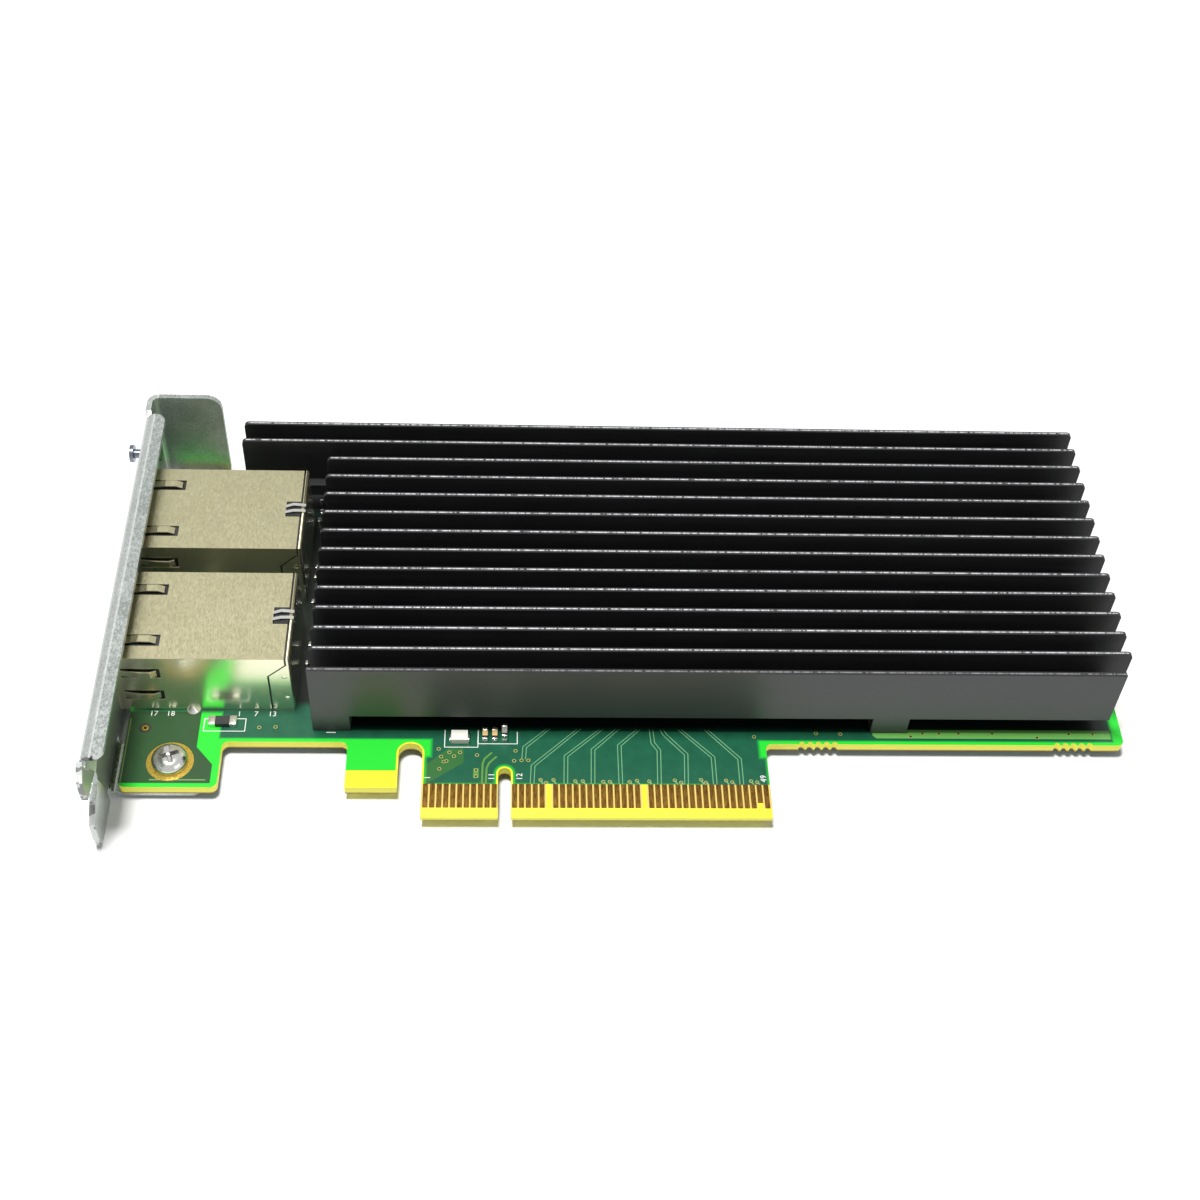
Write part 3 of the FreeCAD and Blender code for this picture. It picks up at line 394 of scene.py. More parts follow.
def bracketMaterial():
    finish = bracketFinish
    shop = Workshop("platedBracket")
    x, y, z = shop.axes()
    normal = shop.normalAxes()
    cloud = shop.noise(0.25, 3.0, 0.6)
    mottle = shop.noise(3.4, 3.0, 0.65, (1.0, 0.6, 1.0))
    color = shop.blend(shop.spread(cloud * 0.35 + mottle * 0.65, 0.36, 0.64), finish["low"], finish["high"])
    sheared = shop.spread(y, finish["forkStart"] + 0.3, finish["forkStart"])
    sheared = shop.spread(abs(normal[0]), 0.75, 0.6) & sheared
    torn = shop.spread(shop.noise(0.7, 1.0, 0.4), 0.53, 0.5)
    color = shop.blend(sheared, color, shop.blend(torn, finish["rolled"], finish["sheared"]))
    # a painted highlight along the line where the flange's bend ends, and a fainter one over the rounded
    # bend outside it
    top = shop.spread(z, finish["flangeTop"] - 0.1, finish["flangeTop"])
    line = shop.spread(abs(x - finish["bendLine"]), 0.2, 0.1) & top
    outside = shop.spread(x, finish["bendLine"], finish["bendLine"] - 0.1)
    color = shop.blend(line * 0.8 | outside * 0.3, color, finish["bendHighlight"])
    # the plate's faces are smoother and duller than the peened flange
    plate = shop.spread(abs(normal[0]), 0.6, 0.9)
    color = shop.blend(plate * 0.45, color, finish["low"])
    shop.bump(mottle, 0.012)
    dull = shop.spread(abs(normal[1]), 0.6, 0.9) * 0.24 + plate * 0.1
    return shop.finish(color=color, roughness=shop.spread(mottle, 0.3, 0.7, 0.22, 0.36) + dull,
                       metallic=1 - sheared * 0.6)


def plasticMaterial(name, color, roughness, grain=4.0, tint=0.2, bump=0.01, **extra):
    shop = Workshop(name)
    cloud = shop.noise(grain, 3.0)
    lighter = tuple(min(1.0, c * (1 + tint) + 0.01 * tint) for c in color[:3]) + (1.0,)
    shop.bump(cloud, bump)
    rough = shop.spread(cloud, 0.3, 0.7, roughness * 0.85, roughness * 1.15)
    return shop.finish(color=shop.blend(cloud, color, lighter), roughness=rough, **extra)


heatsinkFinish = {
    "black": srgb(38, 38, 39),
    "dusty": srgb(50, 51, 52),
    "glintAndDustGrey": srgb(226, 226, 230),
    "satin": srgb(80, 83, 82),
    "finTop": 14.3,
    "finPitch": 3.875,
    "firstFin": 19.48,           # middle of the first fin
    "wallMiddle": 15.5,
    "lineHalf": 0.1,             # half of the painted highlight line along a fin's top
}


def heatsinkMaterial():
    finish = heatsinkFinish
    shop = Workshop("blackAnodised")
    x, y, z = shop.axes()
    normal = shop.normalAxes()
    cloud = shop.noise(0.08, 3.0, 0.6)
    drawn = shop.noise(1.2, 3.0, 0.6, (0.03, 1.0, 1.0))
    grit = shop.noise(5.0, 2.0, 0.8)
    color = shop.blend(shop.spread(cloud * 0.5 + drawn * 0.5, 0.35, 0.7), finish["black"], finish["dusty"])
    # a thin broken painted highlight along each fin's top
    lineRim = (finish["lineHalf"] + 0.05, finish["lineHalf"] - 0.05)
    onFin = shop.spread((y - finish["firstFin"]).offNearest(finish["finPitch"]), *lineRim)
    onWall = shop.spread(abs(y - finish["wallMiddle"]), *lineRim)
    line = (onFin & shop.spread(y, 17.0, 17.5)) | onWall * 0.35
    dashes = shop.spread(shop.noise(1.8, 4.0, 0.75, (1.0, 0.2, 0.2)), 0.38, 0.56)
    atTop = shop.spread(z, finish["finTop"] - 0.05, finish["finTop"] - 0.01)
    # pale dust specks, joined with the painted highlight
    dust = shop.spread(grit, 0.77, 0.8) * 0.25
    highlightAndDust = (atTop * line * dashes) | dust
    # the smooth outer face of the wall and the sawn fin ends are satin
    outer = shop.spread(normal[1], -0.9, -0.97) & shop.spread(y, 15.3, 15.2)
    ends = shop.spread(normal[0], 0.9, 0.97)
    satin = outer | ends
    color = shop.blend(satin, color, shop.blend(cloud * 0.25, finish["satin"], finish["dusty"]))
    color = shop.blend(highlightAndDust, color, finish["glintAndDustGrey"])
    shop.bump(drawn * (1 - satin) * 0.5 + grit * 0.25, 0.012)
    rough = shop.spread(drawn, 0.3, 0.7, 0.4, 0.52) * (1 - satin) + satin * 0.42
    return shop.finish(color=color, roughness=rough, metallic=satin * 0.45 | highlightAndDust * 0.9, specular=0.3)


def goldContactMaterial():
    shop = Workshop("platedContacts")
    cloud = shop.noise(1.6, 3.0, 0.6)
    scrape = shop.noise(6.0, 3.0, 0.6, (1.0, 0.12, 1.0))
    color = shop.blend(shop.spread(cloud * 0.25 + scrape * 0.75, 0.35, 0.65),
                       srgb(116, 82, 34), srgb(160, 120, 54))
    shop.bump(scrape, 0.004)
    return shop.finish(color=color, roughness=shop.spread(scrape, 0.3, 0.7, 0.22, 0.36), metallic=1.0)


materials = {
    "board": boardMaterial(),
    "gold": goldContactMaterial(),
    "bracket": bracketMaterial(),
    "stud": metalMaterial("zincStud", srgb(96, 102, 112), srgb(150, 156, 164), 0.25),
    "screw": metalMaterial("platedScrew", srgb(196, 196, 192), srgb(228, 228, 224), 0.18),
    "shield": metalMaterial("portNickel", srgb(182, 176, 141), srgb(194, 189, 155), 0.34, (1.0, 0.35, 1.0),
                            0.002, shieldSidesPolishAndLight),
    "heatsink": heatsinkMaterial(),
    "housing": plasticMaterial("blackHousing", srgb(24, 24, 26), 0.45),
    "lens": plasticMaterial("milkyLens", srgb(214, 216, 206), 0.25, 2.0, 0.06, 0.004, transmission=0.25),
    "substrate": plasticMaterial("packageSubstrate", srgb(38, 92, 50), 0.4),
    "epoxy": plasticMaterial("blackEpoxy", srgb(30, 30, 32), 0.55, 8.0, 0.5, 0.02),
    "lid": metalMaterial("packageLid", srgb(160, 160, 158), srgb(192, 192, 190), 0.35),
    "pad": plasticMaterial("thermalPad", srgb(122, 126, 132), 0.8, 3.0, 0.15, 0.05),
    "ferrite": plasticMaterial("greyFerrite", srgb(96, 96, 98), 0.6, 6.0, 0.4, 0.05),
    "greyCeramic": plasticMaterial("greyCeramic", srgb(142, 144, 138), 0.5, 5.0, 0.2, 0.02),
    "ceramic": plasticMaterial("tanCeramic", srgb(220, 188, 130), 0.4, 3.0, 0.2, 0.01),
    "whiteCeramic": plasticMaterial("whiteCeramic", srgb(232, 232, 222), 0.35, 3.0, 0.05, 0.01),
    "solder": metalMaterial("brightSolder", srgb(206, 206, 200), srgb(236, 236, 230), 0.2, bump=0.03),
    "silk": plasticMaterial("whiteInk", srgb(238, 241, 234), 0.6, 6.0, 0.06, 0.01),
    "wideTrack": plasticMaterial("maskedCopper", srgb(92, 140, 60), 0.3, 3.0, 0.2, 0.004),
    "trace": plasticMaterial("maskedTrace", srgb(112, 166, 122), 0.3, 3.0, 0.25, 0.004),
    "padRing": metalMaterial("goldRing", srgb(186, 154, 62), srgb(222, 192, 92), 0.3),
    "viaGold": plasticMaterial("viaGold", srgb(170, 176, 96), 0.35),
    # a dark ring round the seal hole, and painted shade for the via holes
    "holeShadeAndRing": plasticMaterial("unmaskedLaminateAndHoleShade", srgb(28, 32, 16), 0.6),
}

slotMaterials = {
    "board": "board", "gold": "gold", "bracket_steel": "bracket", "screw_steel": "screw",
    "shield_nickel": "shield", "black_aluminium": "heatsink", "black_plastic": "housing",
    "light_pipe": "lens", "chip_substrate": "substrate", "chip_epoxy": "epoxy", "lid_metal": "lid",
    "thermal_pad": "pad", "ferrite": "ferrite", "ceramic": "ceramic", "white_ceramic": "whiteCeramic",
}
for part in frame["record"]["subparts"]:
    mesh = nodes[part["node"]].data
    mesh.materials.clear()
    mesh.materials.append(materials[slotMaterials[part["material_slot"]]])
nodes["bracket_stud"].data.materials[0] = materials["stud"]


def keep(bm, name, material, smooth=0.6, replaces=()):
    # turn a bmesh in millimetres into a finished piece
    bmesh.ops.scale(bm, vec=(mm, mm, mm), verts=bm.verts)
    for face in bm.faces:
        face.smooth = smooth > 0
    mesh = bpy.data.meshes.new(name)
    bm.to_mesh(mesh)
    bm.free()
    mesh.set_sharp_from_angle(angle=smooth)
    mesh.materials.append(materials[material])
    piece = bpy.data.objects.new(name, mesh)
    bpy.context.scene.collection.objects.link(piece)
    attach(piece, "root")
    if replaces:
        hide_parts(*replaces)


def bevel(bm, edges, width, segments):
    bmesh.ops.bevel(bm, geom=edges, offset=width, offset_type="OFFSET", segments=segments,
                    profile=0.5, affect="EDGES", material=-1, clamp_overlap=True)


def dress(node, material, width, segments=2, smooth=0.7):
    # a copy of a CAD node with softened edges, standing for the node
    bm = bmesh.new()
    bm.from_mesh(nodes[node].data)
    bmesh.ops.scale(bm, vec=(1 / mm, 1 / mm, 1 / mm), verts=bm.verts)
    bmesh.ops.remove_doubles(bm, verts=bm.verts, dist=0.001)
    bmesh.ops.dissolve_limit(bm, angle_limit=0.01, verts=bm.verts, edges=bm.edges)
    sharpAngle = 0.5
    sharp = [e for e in bm.edges if len(e.link_faces) == 2 and e.calc_face_angle(0) > sharpAngle]
    bevel(bm, sharp, width, segments)
    keep(bm, node + "_dressed", material, smooth, (node,))


def block(bm, low, high, width, segments):
    # a box with bevelled edges
    low, high = Vector(low), Vector(high)
    made = bmesh.ops.create_cube(bm, size=1.0)["verts"]
    bmesh.ops.scale(bm, vec=high - low, verts=made)
    bmesh.ops.translate(bm, vec=(low + high) / 2, verts=made)
    bevel(bm, list({e for v in made for e in v.link_edges}), width, segments)


def lathe(bm, profile, centre, steps, turn=None):
    # spin a profile of (radius, height) pairs about the upright axis, then place it
    made = [bm.verts.new((radius, 0, height)) for radius, height in profile]
    edges = [bm.edges.new(pair) for pair in zip(made, made[1:])]
    before = set(bm.verts) - set(made)
    bmesh.ops.spin(bm, geom=made + edges, cent=(0, 0, 0), axis=(0, 0, 1),
                   angle=2 * math.pi, steps=steps, use_merge=True)
    new = [v for v in bm.verts if v not in before]
    bmesh.ops.remove_doubles(bm, verts=new, dist=0.0005)
    new = [v for v in bm.verts if v.is_valid and v not in before]
    faces = list({f for v in new for f in v.link_faces})
    bmesh.ops.recalc_face_normals(bm, faces=faces)
    if turn:
        bmesh.ops.rotate(bm, cent=(0, 0, 0), matrix=turn, verts=new)
    bmesh.ops.translate(bm, vec=centre, verts=new)


def disc(bm, x, y, low, high, radius, hole, steps):
    # a flat ring, or a full disc where the hole is 0
    profile = [(hole, low), (radius, low), (radius, high), (hole, high)]
    if hole:
        profile.append((hole, low))
    lathe(bm, profile, (x, y, 0), steps=steps)


def strip(bm, path, width, thickness):
    # a bent strip of sheet with its width along Y: the path's points are its middle line
    side = Vector((0, 1, 0))
    points = [bm.verts.new(Vector(p) - side * width / 2) for p in path]
    edges = [bm.edges.new(pair) for pair in zip(points, points[1:])]
    made = bmesh.ops.extrude_edge_only(bm, edges=edges)["geom"]
    moved = [g for g in made if isinstance(g, bmesh.types.BMVert)]
    bmesh.ops.translate(bm, vec=side * width, verts=moved)
    faces = [g for g in made if isinstance(g, bmesh.types.BMFace)]
    bmesh.ops.solidify(bm, geom=faces, thickness=thickness)


def inkLines(name, paths, material, width, height, low):
    # printed or etched lines: flattened tubes along straight runs
    curve = bpy.data.curves.new(name, "CURVE")
    curve.dimensions = "3D"
    curve.bevel_depth = width / 2
    curve.bevel_resolution = 1
    curve.use_fill_caps = True
    for path in paths:
        line = curve.splines.new("POLY")
        line.points.add(len(path) - 1)
        for point, place in zip(line.points, path):
            point.co = (place[0], place[1], 0, 1)
    holder = bpy.data.objects.new(name + "Path", curve)
    bm = bmesh.new()
    bm.from_mesh(bpy.data.meshes.new_from_object(holder))
    bpy.data.objects.remove(holder)
    bmesh.ops.scale(bm, vec=(1, 1, 2 * height / width), verts=bm.verts)
    bmesh.ops.translate(bm, vec=(0, 0, low), verts=bm.verts)
    keep(bm, name, material, 0.9)


print("stage: dressed CAD pieces")
dress("heatsink", "heatsink", 0.06, 1, 0.3)
dress("bracket", "bracket", 0.1, 2, 0.3)
for side in ("near", "far"):
    dress(f"{side}_port_shield", "shield", 0.04, 1, 0)
    dress(f"{side}_port_rear_cover", "shield", 0.04, 1, 0.5)
    dress(f"{side}_port_housing", "housing", 0.12)
    dress(f"{side}_port_light_pipes", "lens", 0.12)
for node, material, slot, width in (
        ("flash_memory_chip", "epoxy", "chip_epoxy", 0.12),
        ("regulator_inductors", "ferrite", "ferrite", 0.4),
        ("regulator_drivers", "epoxy", "chip_epoxy", 0.08),
        ("tank_capacitors", "epoxy", "chip_epoxy", 0.25),
        ("clock_crystal", "lid", "lid_metal", 0.2)):
    dress(node, material, width)

print("stage: screws")
screwLook = {
    "shank": 1.45,
    "shankTip": 0.3,
    "domeStart": 0.75,           # where the pan head starts to curve in
    "dome": ((0.12, 1.05), (0.4, 1.4)),    # how far in from the rim, and at what height
    "crown": (0.9, 0.16),                  # how far in, and how far under the top
    "neck": 1.2,
    "recess": 1.15,
    "recessReach": 1.95,
    "recessWidth": 0.45,
    "turned": 0.35,
    "washer": 2.6,
    "washerTop": -1.62,
}


def blade(reach, width, depth, turned):
    # one tapered arm pair of a cross recess, pointing down from its own origin
    bm = bmesh.new()
    made = bmesh.ops.create_cone(bm, cap_ends=True, cap_tris=False, segments=4,
                                 radius1=reach * 0.55, radius2=reach * 1.85, depth=depth * 2)["verts"]
    bmesh.ops.rotate(bm, cent=(0, 0, 0), matrix=Matrix.Rotation(math.pi / 4, 3, "Z"), verts=made)
    bmesh.ops.scale(bm, vec=(1, width / reach, 1), verts=made)
    bmesh.ops.rotate(bm, cent=(0, 0, 0), matrix=Matrix.Rotation(turned, 3, "Z"), verts=made)
    return bm


def carved(bm, cutters):
    # the solid less each cutter, all in millimetres
    def holder(source, name):
        mesh = bpy.data.meshes.new(name)
        source.to_mesh(mesh)
        source.free()
        made = bpy.data.objects.new(name, mesh)
        bpy.context.scene.collection.objects.link(made)
        return made
    blank = holder(bm, "blank")
    tools = [holder(cutter, "tool") for cutter in cutters]
    for tool in tools:
        carve = blank.modifiers.new("carve", "BOOLEAN")
        carve.object = tool
        carve.operation = "DIFFERENCE"
        carve.solver = "EXACT"
    graph = bpy.context.evaluated_depsgraph_get()
    mesh = bpy.data.meshes.new_from_object(blank.evaluated_get(graph))
    result = bmesh.new()
    result.from_mesh(mesh)
    for made in [blank] + tools:
        bpy.data.objects.remove(made)
    bpy.data.meshes.remove(mesh)
    return result


def crossRecess(x, y, top, down=True):
    # both arm pairs of a recess that goes down, or up into a head seen from below
    look = screwLook
    arms = []
    for turned in (look["turned"], look["turned"] + math.pi / 2):
        arm = blade(look["recessReach"], look["recessWidth"], look["recess"], turned)
        if not down:
            bmesh.ops.rotate(arm, cent=(0, 0, 0), matrix=Matrix.Rotation(math.pi, 3, "X"), verts=arm.verts)
        bmesh.ops.translate(arm, vec=(x, y, top), verts=arm.verts)
        arms.append(arm)
    return arms


boltLow, boltHigh = boxOf("bracket_screws")
headRadius = (boltHigh.x - boltLow.x) / 2
boltX = (boltLow.x + boltHigh.x) / 2
boltSpots = [boltLow.y + headRadius, boltHigh.y - headRadius]
bolts = bmesh.new()
cutters = []
for y in boltSpots:
    top = boltHigh.z
    shank, tip = screwLook["shank"], screwLook["shankTip"]
    crownInset, crownDrop = screwLook["crown"]
    profile = [(0, boltLow.z), (shank - tip, boltLow.z), (shank, boltLow.z + tip), (shank, 0.0),
               (headRadius, 0.02), (headRadius, screwLook["domeStart"])]
    profile += [(headRadius - inset, height) for inset, height in screwLook["dome"]]
    profile += [(headRadius - crownInset, top - crownDrop), (screwLook["neck"], top - 0.03), (0, top)]
    lathe(bolts, profile, (boltX, y, 0), steps=48)
    cutters += crossRecess(boltX, y, top)
keep(carved(bolts, cutters), "panHeadScrews", "screw", replaces=("bracket_screws",))

sinkLow, sinkHigh = boxOf("heatsink_screws")
sinkSpots = [(-25.81, 17.9), (58.0, 17.9), (-38.61, 62.95), (58.0, 62.95)]
sinks = bmesh.new()
cutters = []
for x, y in sinkSpots:
    low = sinkLow.z
    neck, washer, under = screwLook["neck"], screwLook["washer"], screwLook["washerTop"]
    lathe(sinks, [(0, sinkHigh.z), (neck, sinkHigh.z), (neck, under), (washer, under), (washer, low + 0.55),
                  (washer - 0.25, low + 0.18), (washer - 0.7, low), (0, low)], (x, y, 0), steps=40)
    cutters += crossRecess(x, y, low, down=False)
keep(carved(sinks, cutters), "heatsinkScrews", "screw", replaces=("heatsink_screws",))

print("stage: board artwork")
rings = bmesh.new()
for y in boltSpots:
    disc(rings, boltX, y, 0.0, 0.03, radius=3.45, hole=1.6, steps=48)
sealHole = (-53.37, 15.4)
disc(rings, *sealHole, -1.55, 0.02, radius=0.48, hole=0.24, steps=24)
keep(rings, "platedRings", "padRing")

trackTop, trackFoot = 15.6, 5.6
# middle lines of the track pairs that fan out from the contacts
trackPairs = [
    ((6.5, trackTop), (2.95, 12.2), (2.8, 10.0)),
    ((11.1, trackTop), (4.2, 8.85), (4.05, trackFoot)),
    ((14.5, trackTop), (9.1, 10.6), (9.0, trackFoot)),
    ((16.9, trackTop), (13.15, 11.8), (13.0, trackFoot)),
    ((20.1, trackTop), (17.1, 12.6), (17.1, trackFoot)),
    ((22.0, trackTop), (22.15, 13.1), (23.0, 11.7), (22.8, trackFoot)),
    ((23.6, trackTop), (24.0, 14.65), (27.05, 11.0), (26.8, trackFoot)),
    ((26.3, trackTop), (31.05, 10.5), (31.05, trackFoot)),
    ((30.3, trackTop), (35.0, 10.2), (35.0, trackFoot)),
]
trackHalfGap, cornerShift = 0.27, 0.08
pairLines = []
for middle in trackPairs:
    lean = math.copysign(cornerShift, middle[0][0] - middle[-1][0])
    for side in (-1, 1):
        shifts = [0] + [-side * lean] * (len(middle) - 2) + [0]
        pairLines.append([(x + side * trackHalfGap, y + shift) for (x, y), shift in zip(middle, shifts)])
inkLines("tracePairs", pairLines, "trace", width=0.13, height=0.012, low=0.002)

viaSpots = [(5.3, 6.3), (6.1, 5.8), (7.2, 6.3), (10.4, 6.1), (11.5, 6.1), (14.5, 6.0), (15.5, 6.0),
            (18.4, 6.0), (19.5, 6.2), (21.3, 6.1), (25.1, 6.3), (26.0, 5.9), (29.0, 6.4), (29.7, 5.9),
            (32.7, 6.3), (33.6, 6.0), (36.4, 6.2), (37.3, 6.0), (1.4, 9.7), (2.5, 9.8), (3.5, 9.8),
            (1.6, 11.5), (-4.1, 10.7), (-9.8, 11.8), (-4.2, 8.0), (-4.2, 6.9), (-9.6, 8.2), (-9.0, 9.5),
            (-9.4, 10.4), (-8.6, 9.6), (-7.5, 10.5), (-8.2, 11.2), (-6.6, 11.2), (-36.6, 15.6),
            (-34.2, 15.7), (61.4, 14.5), (63.3, 15.1), (65.8, 15.1), (68.8, 15.1), (74.0, 15.1),
            (80.8, 14.4), (85.8, 15.1), (89.5, 15.1), (50.7, 14.9), (37.5, 14.3), (47.0, 15.0)]
vias = bmesh.new()
shadesAndRing = bmesh.new()
# a dark ring round the seal hole, and dark discs in the via holes that are painted shade standing in for
# the open holes
disc(shadesAndRing, *sealHole, 0.0, 0.015, radius=0.95, hole=0.5, steps=32)
for x, y in viaSpots:
    disc(vias, x, y, 0.0, 0.025, radius=0.3, hole=0.2, steps=14)
    disc(shadesAndRing, x, y, 0.0, 0.012, radius=0.21, hole=0, steps=10)
keep(vias, "viaRings", "viaGold")

# short tails from the vias to the contacts below them, and wider tracks beside the notch
tails = [((x - 0.1, y + 0.1), (x + 0.4, trackFoot)) for x, y in viaSpots if x > 5.0 and y < 6.5]
inkLines("viaTails", tails, "trace", width=0.2, height=0.012, low=0.002)
wideTracks = [((-1.2, 10.5), (-2.3, 9.3), (-2.65, 8.4), (-2.75, trackFoot)),
              ((-1.9, 11.2), (-2.95, 10.1), (-3.25, 9.2), (-3.3, trackFoot))]
inkLines("notchTracks", wideTracks, "wideTrack", width=0.3, height=0.012, low=0.001)
inkLines("viaPads", [((-4.2, 8.3), (-4.2, 6.6))], "wideTrack", width=0.8, height=0.01, low=0.0)
keep(shadesAndRing, "viaShadesAndSealRing", "holeShadeAndRing")

silkPaths = [
    ((-44.8, 17.2), (-38.7, 17.2), (-38.7, 14.9), (-44.8, 14.9), (-44.8, 17.2)),
    ((-8.95, 15.3), (-8.95, 12.15), (-4.0, 12.15), (-4.0, 12.8), (1.85, 12.8), (1.85, 15.0)),
    ((-4.0, 12.8), (-4.0, 15.3)),
    ((-26.6, 14.75), (-25.2, 14.75)),
]
inkLines("printedOutlines", silkPaths, "silk", width=0.16, height=0.02, low=0.004)

# what each number says, where it starts, and whether it is turned
numerals = (
    ("17", -53.1, 17.7, False), ("18", -50.6, 17.7, False), ("1", -40.1, 17.7, False),
    ("7", -37.6, 17.7, False), ("13", -35.5, 17.7, False), ("1", -10.9, 6.3, True),
    ("11", -1.5, 6.2, True), ("12", 2.6, 6.2, True), ("49", 38.7, 6.0, True),
)


def printedNumbers(spots, size=1.2825):
    # small numbers in the built-in face, lying on the board; turned ones read from the right
    bm = bmesh.new()
    for text, x, y, turned in spots:
        curve = bpy.data.curves.new("numeral", "FONT")
        curve.body = text
        curve.size = size
        curve.resolution_u = 2
        curve.extrude = 0.008
        holder = bpy.data.objects.new("numeral", curve)
        before = set(bm.verts)
        bm.from_mesh(bpy.data.meshes.new_from_object(holder))
        bpy.data.objects.remove(holder)
        made = [v for v in bm.verts if v not in before]
        if turned:
            bmesh.ops.rotate(bm, cent=(0, 0, 0), matrix=Matrix.Rotation(math.pi / 2, 3, "Z"), verts=made)
        bmesh.ops.translate(bm, vec=(x, y, 0.012), verts=made)
    keep(bm, "printedNumbers", "silk", smooth=0)


printedNumbers(numerals)

print("stage: small parts")


def cappedChips(name, spots, size, along, body, replaces, share, up=1, level=0.0):
    # chip bodies and their tinned ends, each a share of the length; spots are plan centres
    bodies, ends = bmesh.new(), bmesh.new()
    length, width, height = size
    slimmer = 0.03               # how much further in the body's faces lie than the ends'
    reach = length / 2 - slimmer

    def corners(x, y, a, b, narrow, bottom, top):
        lowZ, highZ = sorted((level + up * bottom, level + up * top))
        half = width / 2 - narrow
        if along == "X":
            return (x + a, y - half, lowZ), (x + b, y + half, highZ)
        return (x - half, y + a, lowZ), (x + half, y + b, highZ)

    for x, y in spots:
        block(bodies, *corners(x, y, -reach, reach, slimmer, 0.02, height - 0.02), 0.05, 1)
        for sign in (-1, 1):
            a, b = sorted((sign * length / 2, sign * (length / 2 - length * share)))
            block(ends, *corners(x, y, a, b, 0.0, 0.0, height), 0.07, 2)
    keep(ends, name + "Ends", "solder")
    keep(bodies, name + "Bodies", body, replaces=replaces)


def solidBoxes(node):
    # the corners of each separate solid of a CAD node, in millimetres
    bm = bmesh.new()
    bm.from_mesh(nodes[node].data)
    bmesh.ops.scale(bm, vec=(1 / mm, 1 / mm, 1 / mm), verts=bm.verts)
    bmesh.ops.remove_doubles(bm, verts=bm.verts, dist=0.001)
    left, boxes = set(bm.verts), []
    while left:
        group, queue = set(), [left.pop()]
        while queue:
            vert = queue.pop()
            group.add(vert)
            fresh = [e.other_vert(vert) for e in vert.link_edges if e.other_vert(vert) in left]
            left.difference_update(fresh)
            queue += fresh
        boxes.append([Vector([pick(v.co[axis] for v in group) for axis in range(3)])
                      for pick in (min, max)])
    bm.free()
    return boxes


def centreAndSize(node):
    low, high = boxOf(node)
    return (low + high) / 2, high - low


boardLow = boxOf("circuit_board")[0].z
middle, size = centreAndSize("surge_suppressor")
cappedChips("suppressor", [(middle.x, middle.y - 0.1)], (size.x, size.y - 0.3, 0.85), "X",
            "epoxy", ("surge_suppressor",), 0.25)
middle, size = centreAndSize("common_mode_filter")
cappedChips("lineFilter", [(middle.x, middle.y)], size, "X", "whiteCeramic",
            ("common_mode_filter",), 0.1)
low, high = boxOf("front_capacitors")
capWidth = 0.85
spots = [(x, (low.y + high.y) / 2) for x in (low.x + capWidth / 2, high.x - capWidth / 2)]
cappedChips("frontCapacitors", spots, (high.y - low.y, capWidth, high.z), "Y", "ceramic",
            ("front_capacitors",), 0.28)
middle, size = centreAndSize("front_filter")
cappedChips("frontFilter", [(middle.x, middle.y)], (size.y, size.x, size.z), "Y", "greyCeramic",
            ("front_filter",), 0.25)

for side, level, up in (("component", 0.0, 1), ("solder", boardLow, -1)):
    found = solidBoxes(f"chip_capacitors_{side}_side")
    spots = [((low.x + high.x) / 2, (low.y + high.y) / 2) for low, high in found]
    low, high = found[0]
    along = "X" if high.x - low.x > high.y - low.y else "Y"
    size = sorted((high.x - low.x, high.y - low.y), reverse=True) + [high.z - low.z]
    cappedChips(f"{side}SideChips", spots, size, along, "ceramic",
                (f"chip_capacitors_{side}_side",), 0.28, up, level)

print("stage: port details")
portLook = {
    "groundTab": -46.61,
    "dimples": ((-32.5, 8.0), (-32.4, 3.0)),
    "dimpleRadius": 0.42,
    "dimpleRise": 0.12,
    # solder cones, as (radius, height) pairs
    "tabTopCone": ((0, 0.75), (0.3, 0.7), (0.55, 0.4), (0.9, 0.1), (0.9, 0.0), (0, 0.0)),
    "tabFootCone": ((0, -2.6), (0.35, -2.5), (0.6, -2.0), (1.05, -1.65), (1.05, -1.6), (0, -1.6)),
    "pinCone": ((0.28, -2.2), (0.42, -1.95), (0.85, -1.64), (0.85, -1.6), (0.28, -1.6)),
    "notchDepth": 0.55,
    "blockReach": 2.35,
    "blockHalf": 1.55,
    "hooks": ((-0.85, 0.3), (0.35, 0.42)),       # place across the port, rise over its top
}
solder = bmesh.new()
dimples = bmesh.new()
for side in ("near", "far"):
    low, high = boxOf(f"{side}_port_rear_cover")
    for y, outwards in ((low.y, -1), (high.y, 1)):
        disc(solder, portLook["groundTab"], y, 0.0, 0.1, radius=1.0, hole=0, steps=24)
        for cone in ("tabTopCone", "tabFootCone"):
            lathe(solder, portLook[cone], (portLook["groundTab"], y, 0), steps=20)
        for x, z in portLook["dimples"]:
            radius, rise = portLook["dimpleRadius"], portLook["dimpleRise"]
            lathe(dimples, [(0, rise), (radius * 0.5, rise * 0.8), (radius, 0), (0, 0)], (x, y, z),
                  steps=20, turn=Matrix.Rotation(-outwards * math.pi / 2, 3, "X"))
    pins = [(a + b) / 2 for a, b in solidBoxes(f"{side}_port_contacts") if a.z < boardLow - 0.1]
    for pin in pins:
        lathe(solder, portLook["pinCone"], (pin.x, pin.y, 0), steps=14)

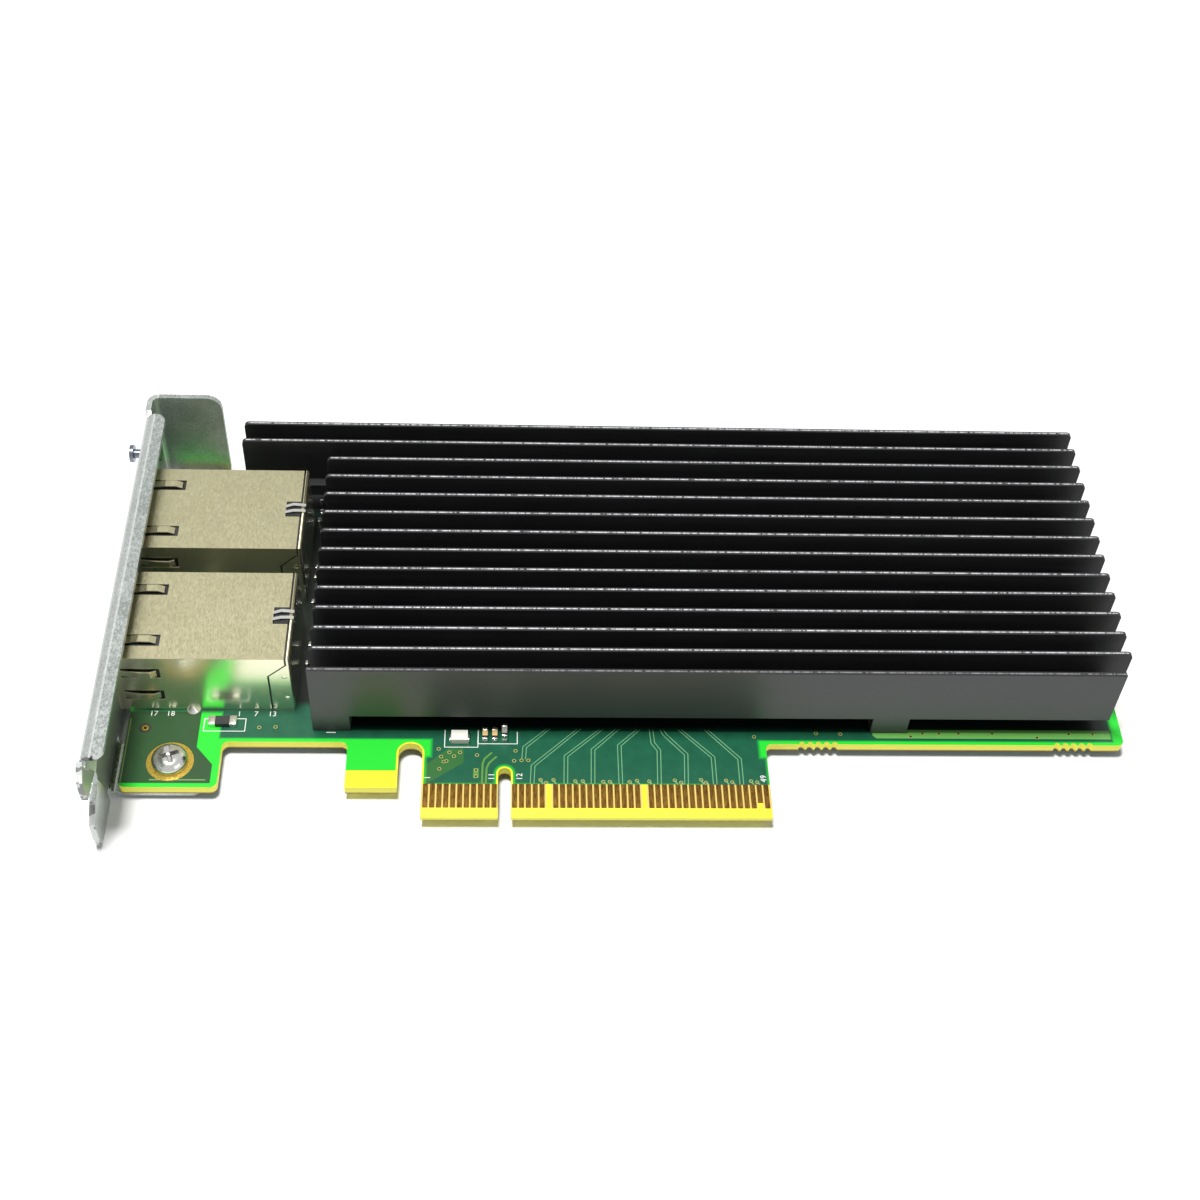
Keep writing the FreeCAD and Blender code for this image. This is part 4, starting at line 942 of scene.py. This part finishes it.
# a black block and two bent metal hooks in the notch of each port's rear edge
notchBlocks = bmesh.new()
hooks = bmesh.new()
for side in ("near", "far"):
    low, high = boxOf(f"{side}_port_rear_cover")
    middleY, top, notch = (low.y + high.y) / 2, high.z, high.x - portLook["notchDepth"]
    half = portLook["blockHalf"]
    block(notchBlocks, (notch - portLook["blockReach"], middleY - half, top - 0.5),
          (notch - 0.1, middleY + half, top + 0.06), 0.1, 1)
    for offset, rise in portLook["hooks"]:
        y = middleY + offset
        path = [(notch - 2.5, y, top + 0.1), (notch - 1.3, y + 0.15, top + rise),
                (notch - 0.2, y + 0.3, top + 0.15), (high.x - 0.1, y + 0.3, top + 0.05),
                (high.x + 0.1, y + 0.3, top - 0.7)]
        strip(hooks, path, width=0.55, thickness=0.14)
keep(notchBlocks, "blackNotchBlocks", "housing")
keep(hooks, "latchHooks", "solder", smooth=0.9)
keep(solder, "tabSolder", "solder")
keep(dimples, "coverDimples", "shield", smooth=0.9)

# small capped parts in the gap between the ports and the heatsink
gapSpots = [(-30.1, 61.6), (-29.9, 59.3), (-30.2, 57.4), (-29.8, 47.2), (-29.9, 45.1), (-29.6, 42.8),
            (-29.9, 39.9), (-29.7, 31.2), (-29.9, 27.5)]
cappedChips("gapChips", gapSpots, (1.6, 0.8, 0.8), "X", "epoxy", (), 0.3)

print("stage: studio")
studio = {
    "floorLow": (0.92, 0.92, 0.92, 1.0),
    "floorHigh": (0.93, 0.93, 0.93, 1.0),
    "worldLight": 0.22,
    "keyPower": 6.6,
    "fillPower": 0.45,
}
bm = bmesh.new()
bmesh.ops.create_grid(bm, x_segments=1, y_segments=1, size=2.5)
bmesh.ops.translate(bm, vec=(0, 0, cadBox[0][2]), verts=bm.verts)
mesh = bpy.data.meshes.new("floor")
bm.to_mesh(mesh)
bm.free()
floor = bpy.data.objects.new("floor", mesh)
bpy.context.scene.collection.objects.link(floor)
paper = Workshop("floorPaper")
grain = paper.noise(0.4, 2.0)
paper.finish(color=paper.blend(grain, studio["floorLow"], studio["floorHigh"]), roughness=0.8, specular=0.2)
mesh.materials.append(paper.material)

world = bpy.data.worlds.new("studio")
bpy.context.scene.world = world
sky = NodeShop(world)
rays = sky.add("ShaderNodeLightPath").outputs
# the world has its full strength where it is seen, mirrored or looked at through a lens, and lights less
seen = sky.maths("MAXIMUM", rays["Is Transmission Ray"], rays["Is Glossy Ray"])
seen = sky.maths("MAXIMUM", rays["Is Camera Ray"], seen)
strength = sky.add("ShaderNodeMapRange", {}, {"Value": seen, "To Min": studio["worldLight"], "To Max": 1.0})
background = sky.add("ShaderNodeBackground", {}, {"Strength": strength.outputs["Result"]})
sky.add("ShaderNodeOutputWorld", {}, {0: background.outputs[0]})


def softLight(name, place, target, size, power):
    lamp = bpy.data.lights.new(name, "AREA")
    lamp.shape = "RECTANGLE"
    lamp.size, lamp.size_y = size
    lamp.energy = power
    holder = bpy.data.objects.new(name, lamp)
    holder.location = place
    holder.rotation_euler = (Vector(target) - Vector(place)).to_track_quat("-Z", "Y").to_euler()
    bpy.context.scene.collection.objects.link(holder)


softLight("keyLight", (-0.08, 0.03, 0.75), (0.01, 0.035, 0), (0.14, 0.14), studio["keyPower"])
softLight("fillLight", (0.45, -0.35, 0.35), (0.02, 0.03, 0), (0.4, 0.4), studio["fillPower"])

viewpoint = {
    "position": (0.00024, -0.14609, 0.21855),
    "right": (0.99865, -0.02665, 0.04449),
    "forward": (0.05113, 0.64991, -0.75829),
    "focal": 54.087,
}
camera = bpy.data.cameras.new("camera")
camera.lens = viewpoint["focal"]
camera.sensor_width = 36
camera.clip_start = 0.01
right = Vector(viewpoint["right"]).normalized()
back = -Vector(viewpoint["forward"]).normalized()
up = back.cross(right).normalized()
right = up.cross(back)
holder = bpy.data.objects.new("camera", camera)
turn = Matrix((right, up, back)).transposed().to_4x4()
holder.matrix_world = Matrix.Translation(viewpoint["position"]) @ turn
bpy.context.scene.collection.objects.link(holder)
bpy.context.scene.camera = holder
bpy.context.scene.view_settings.view_transform = "Standard"
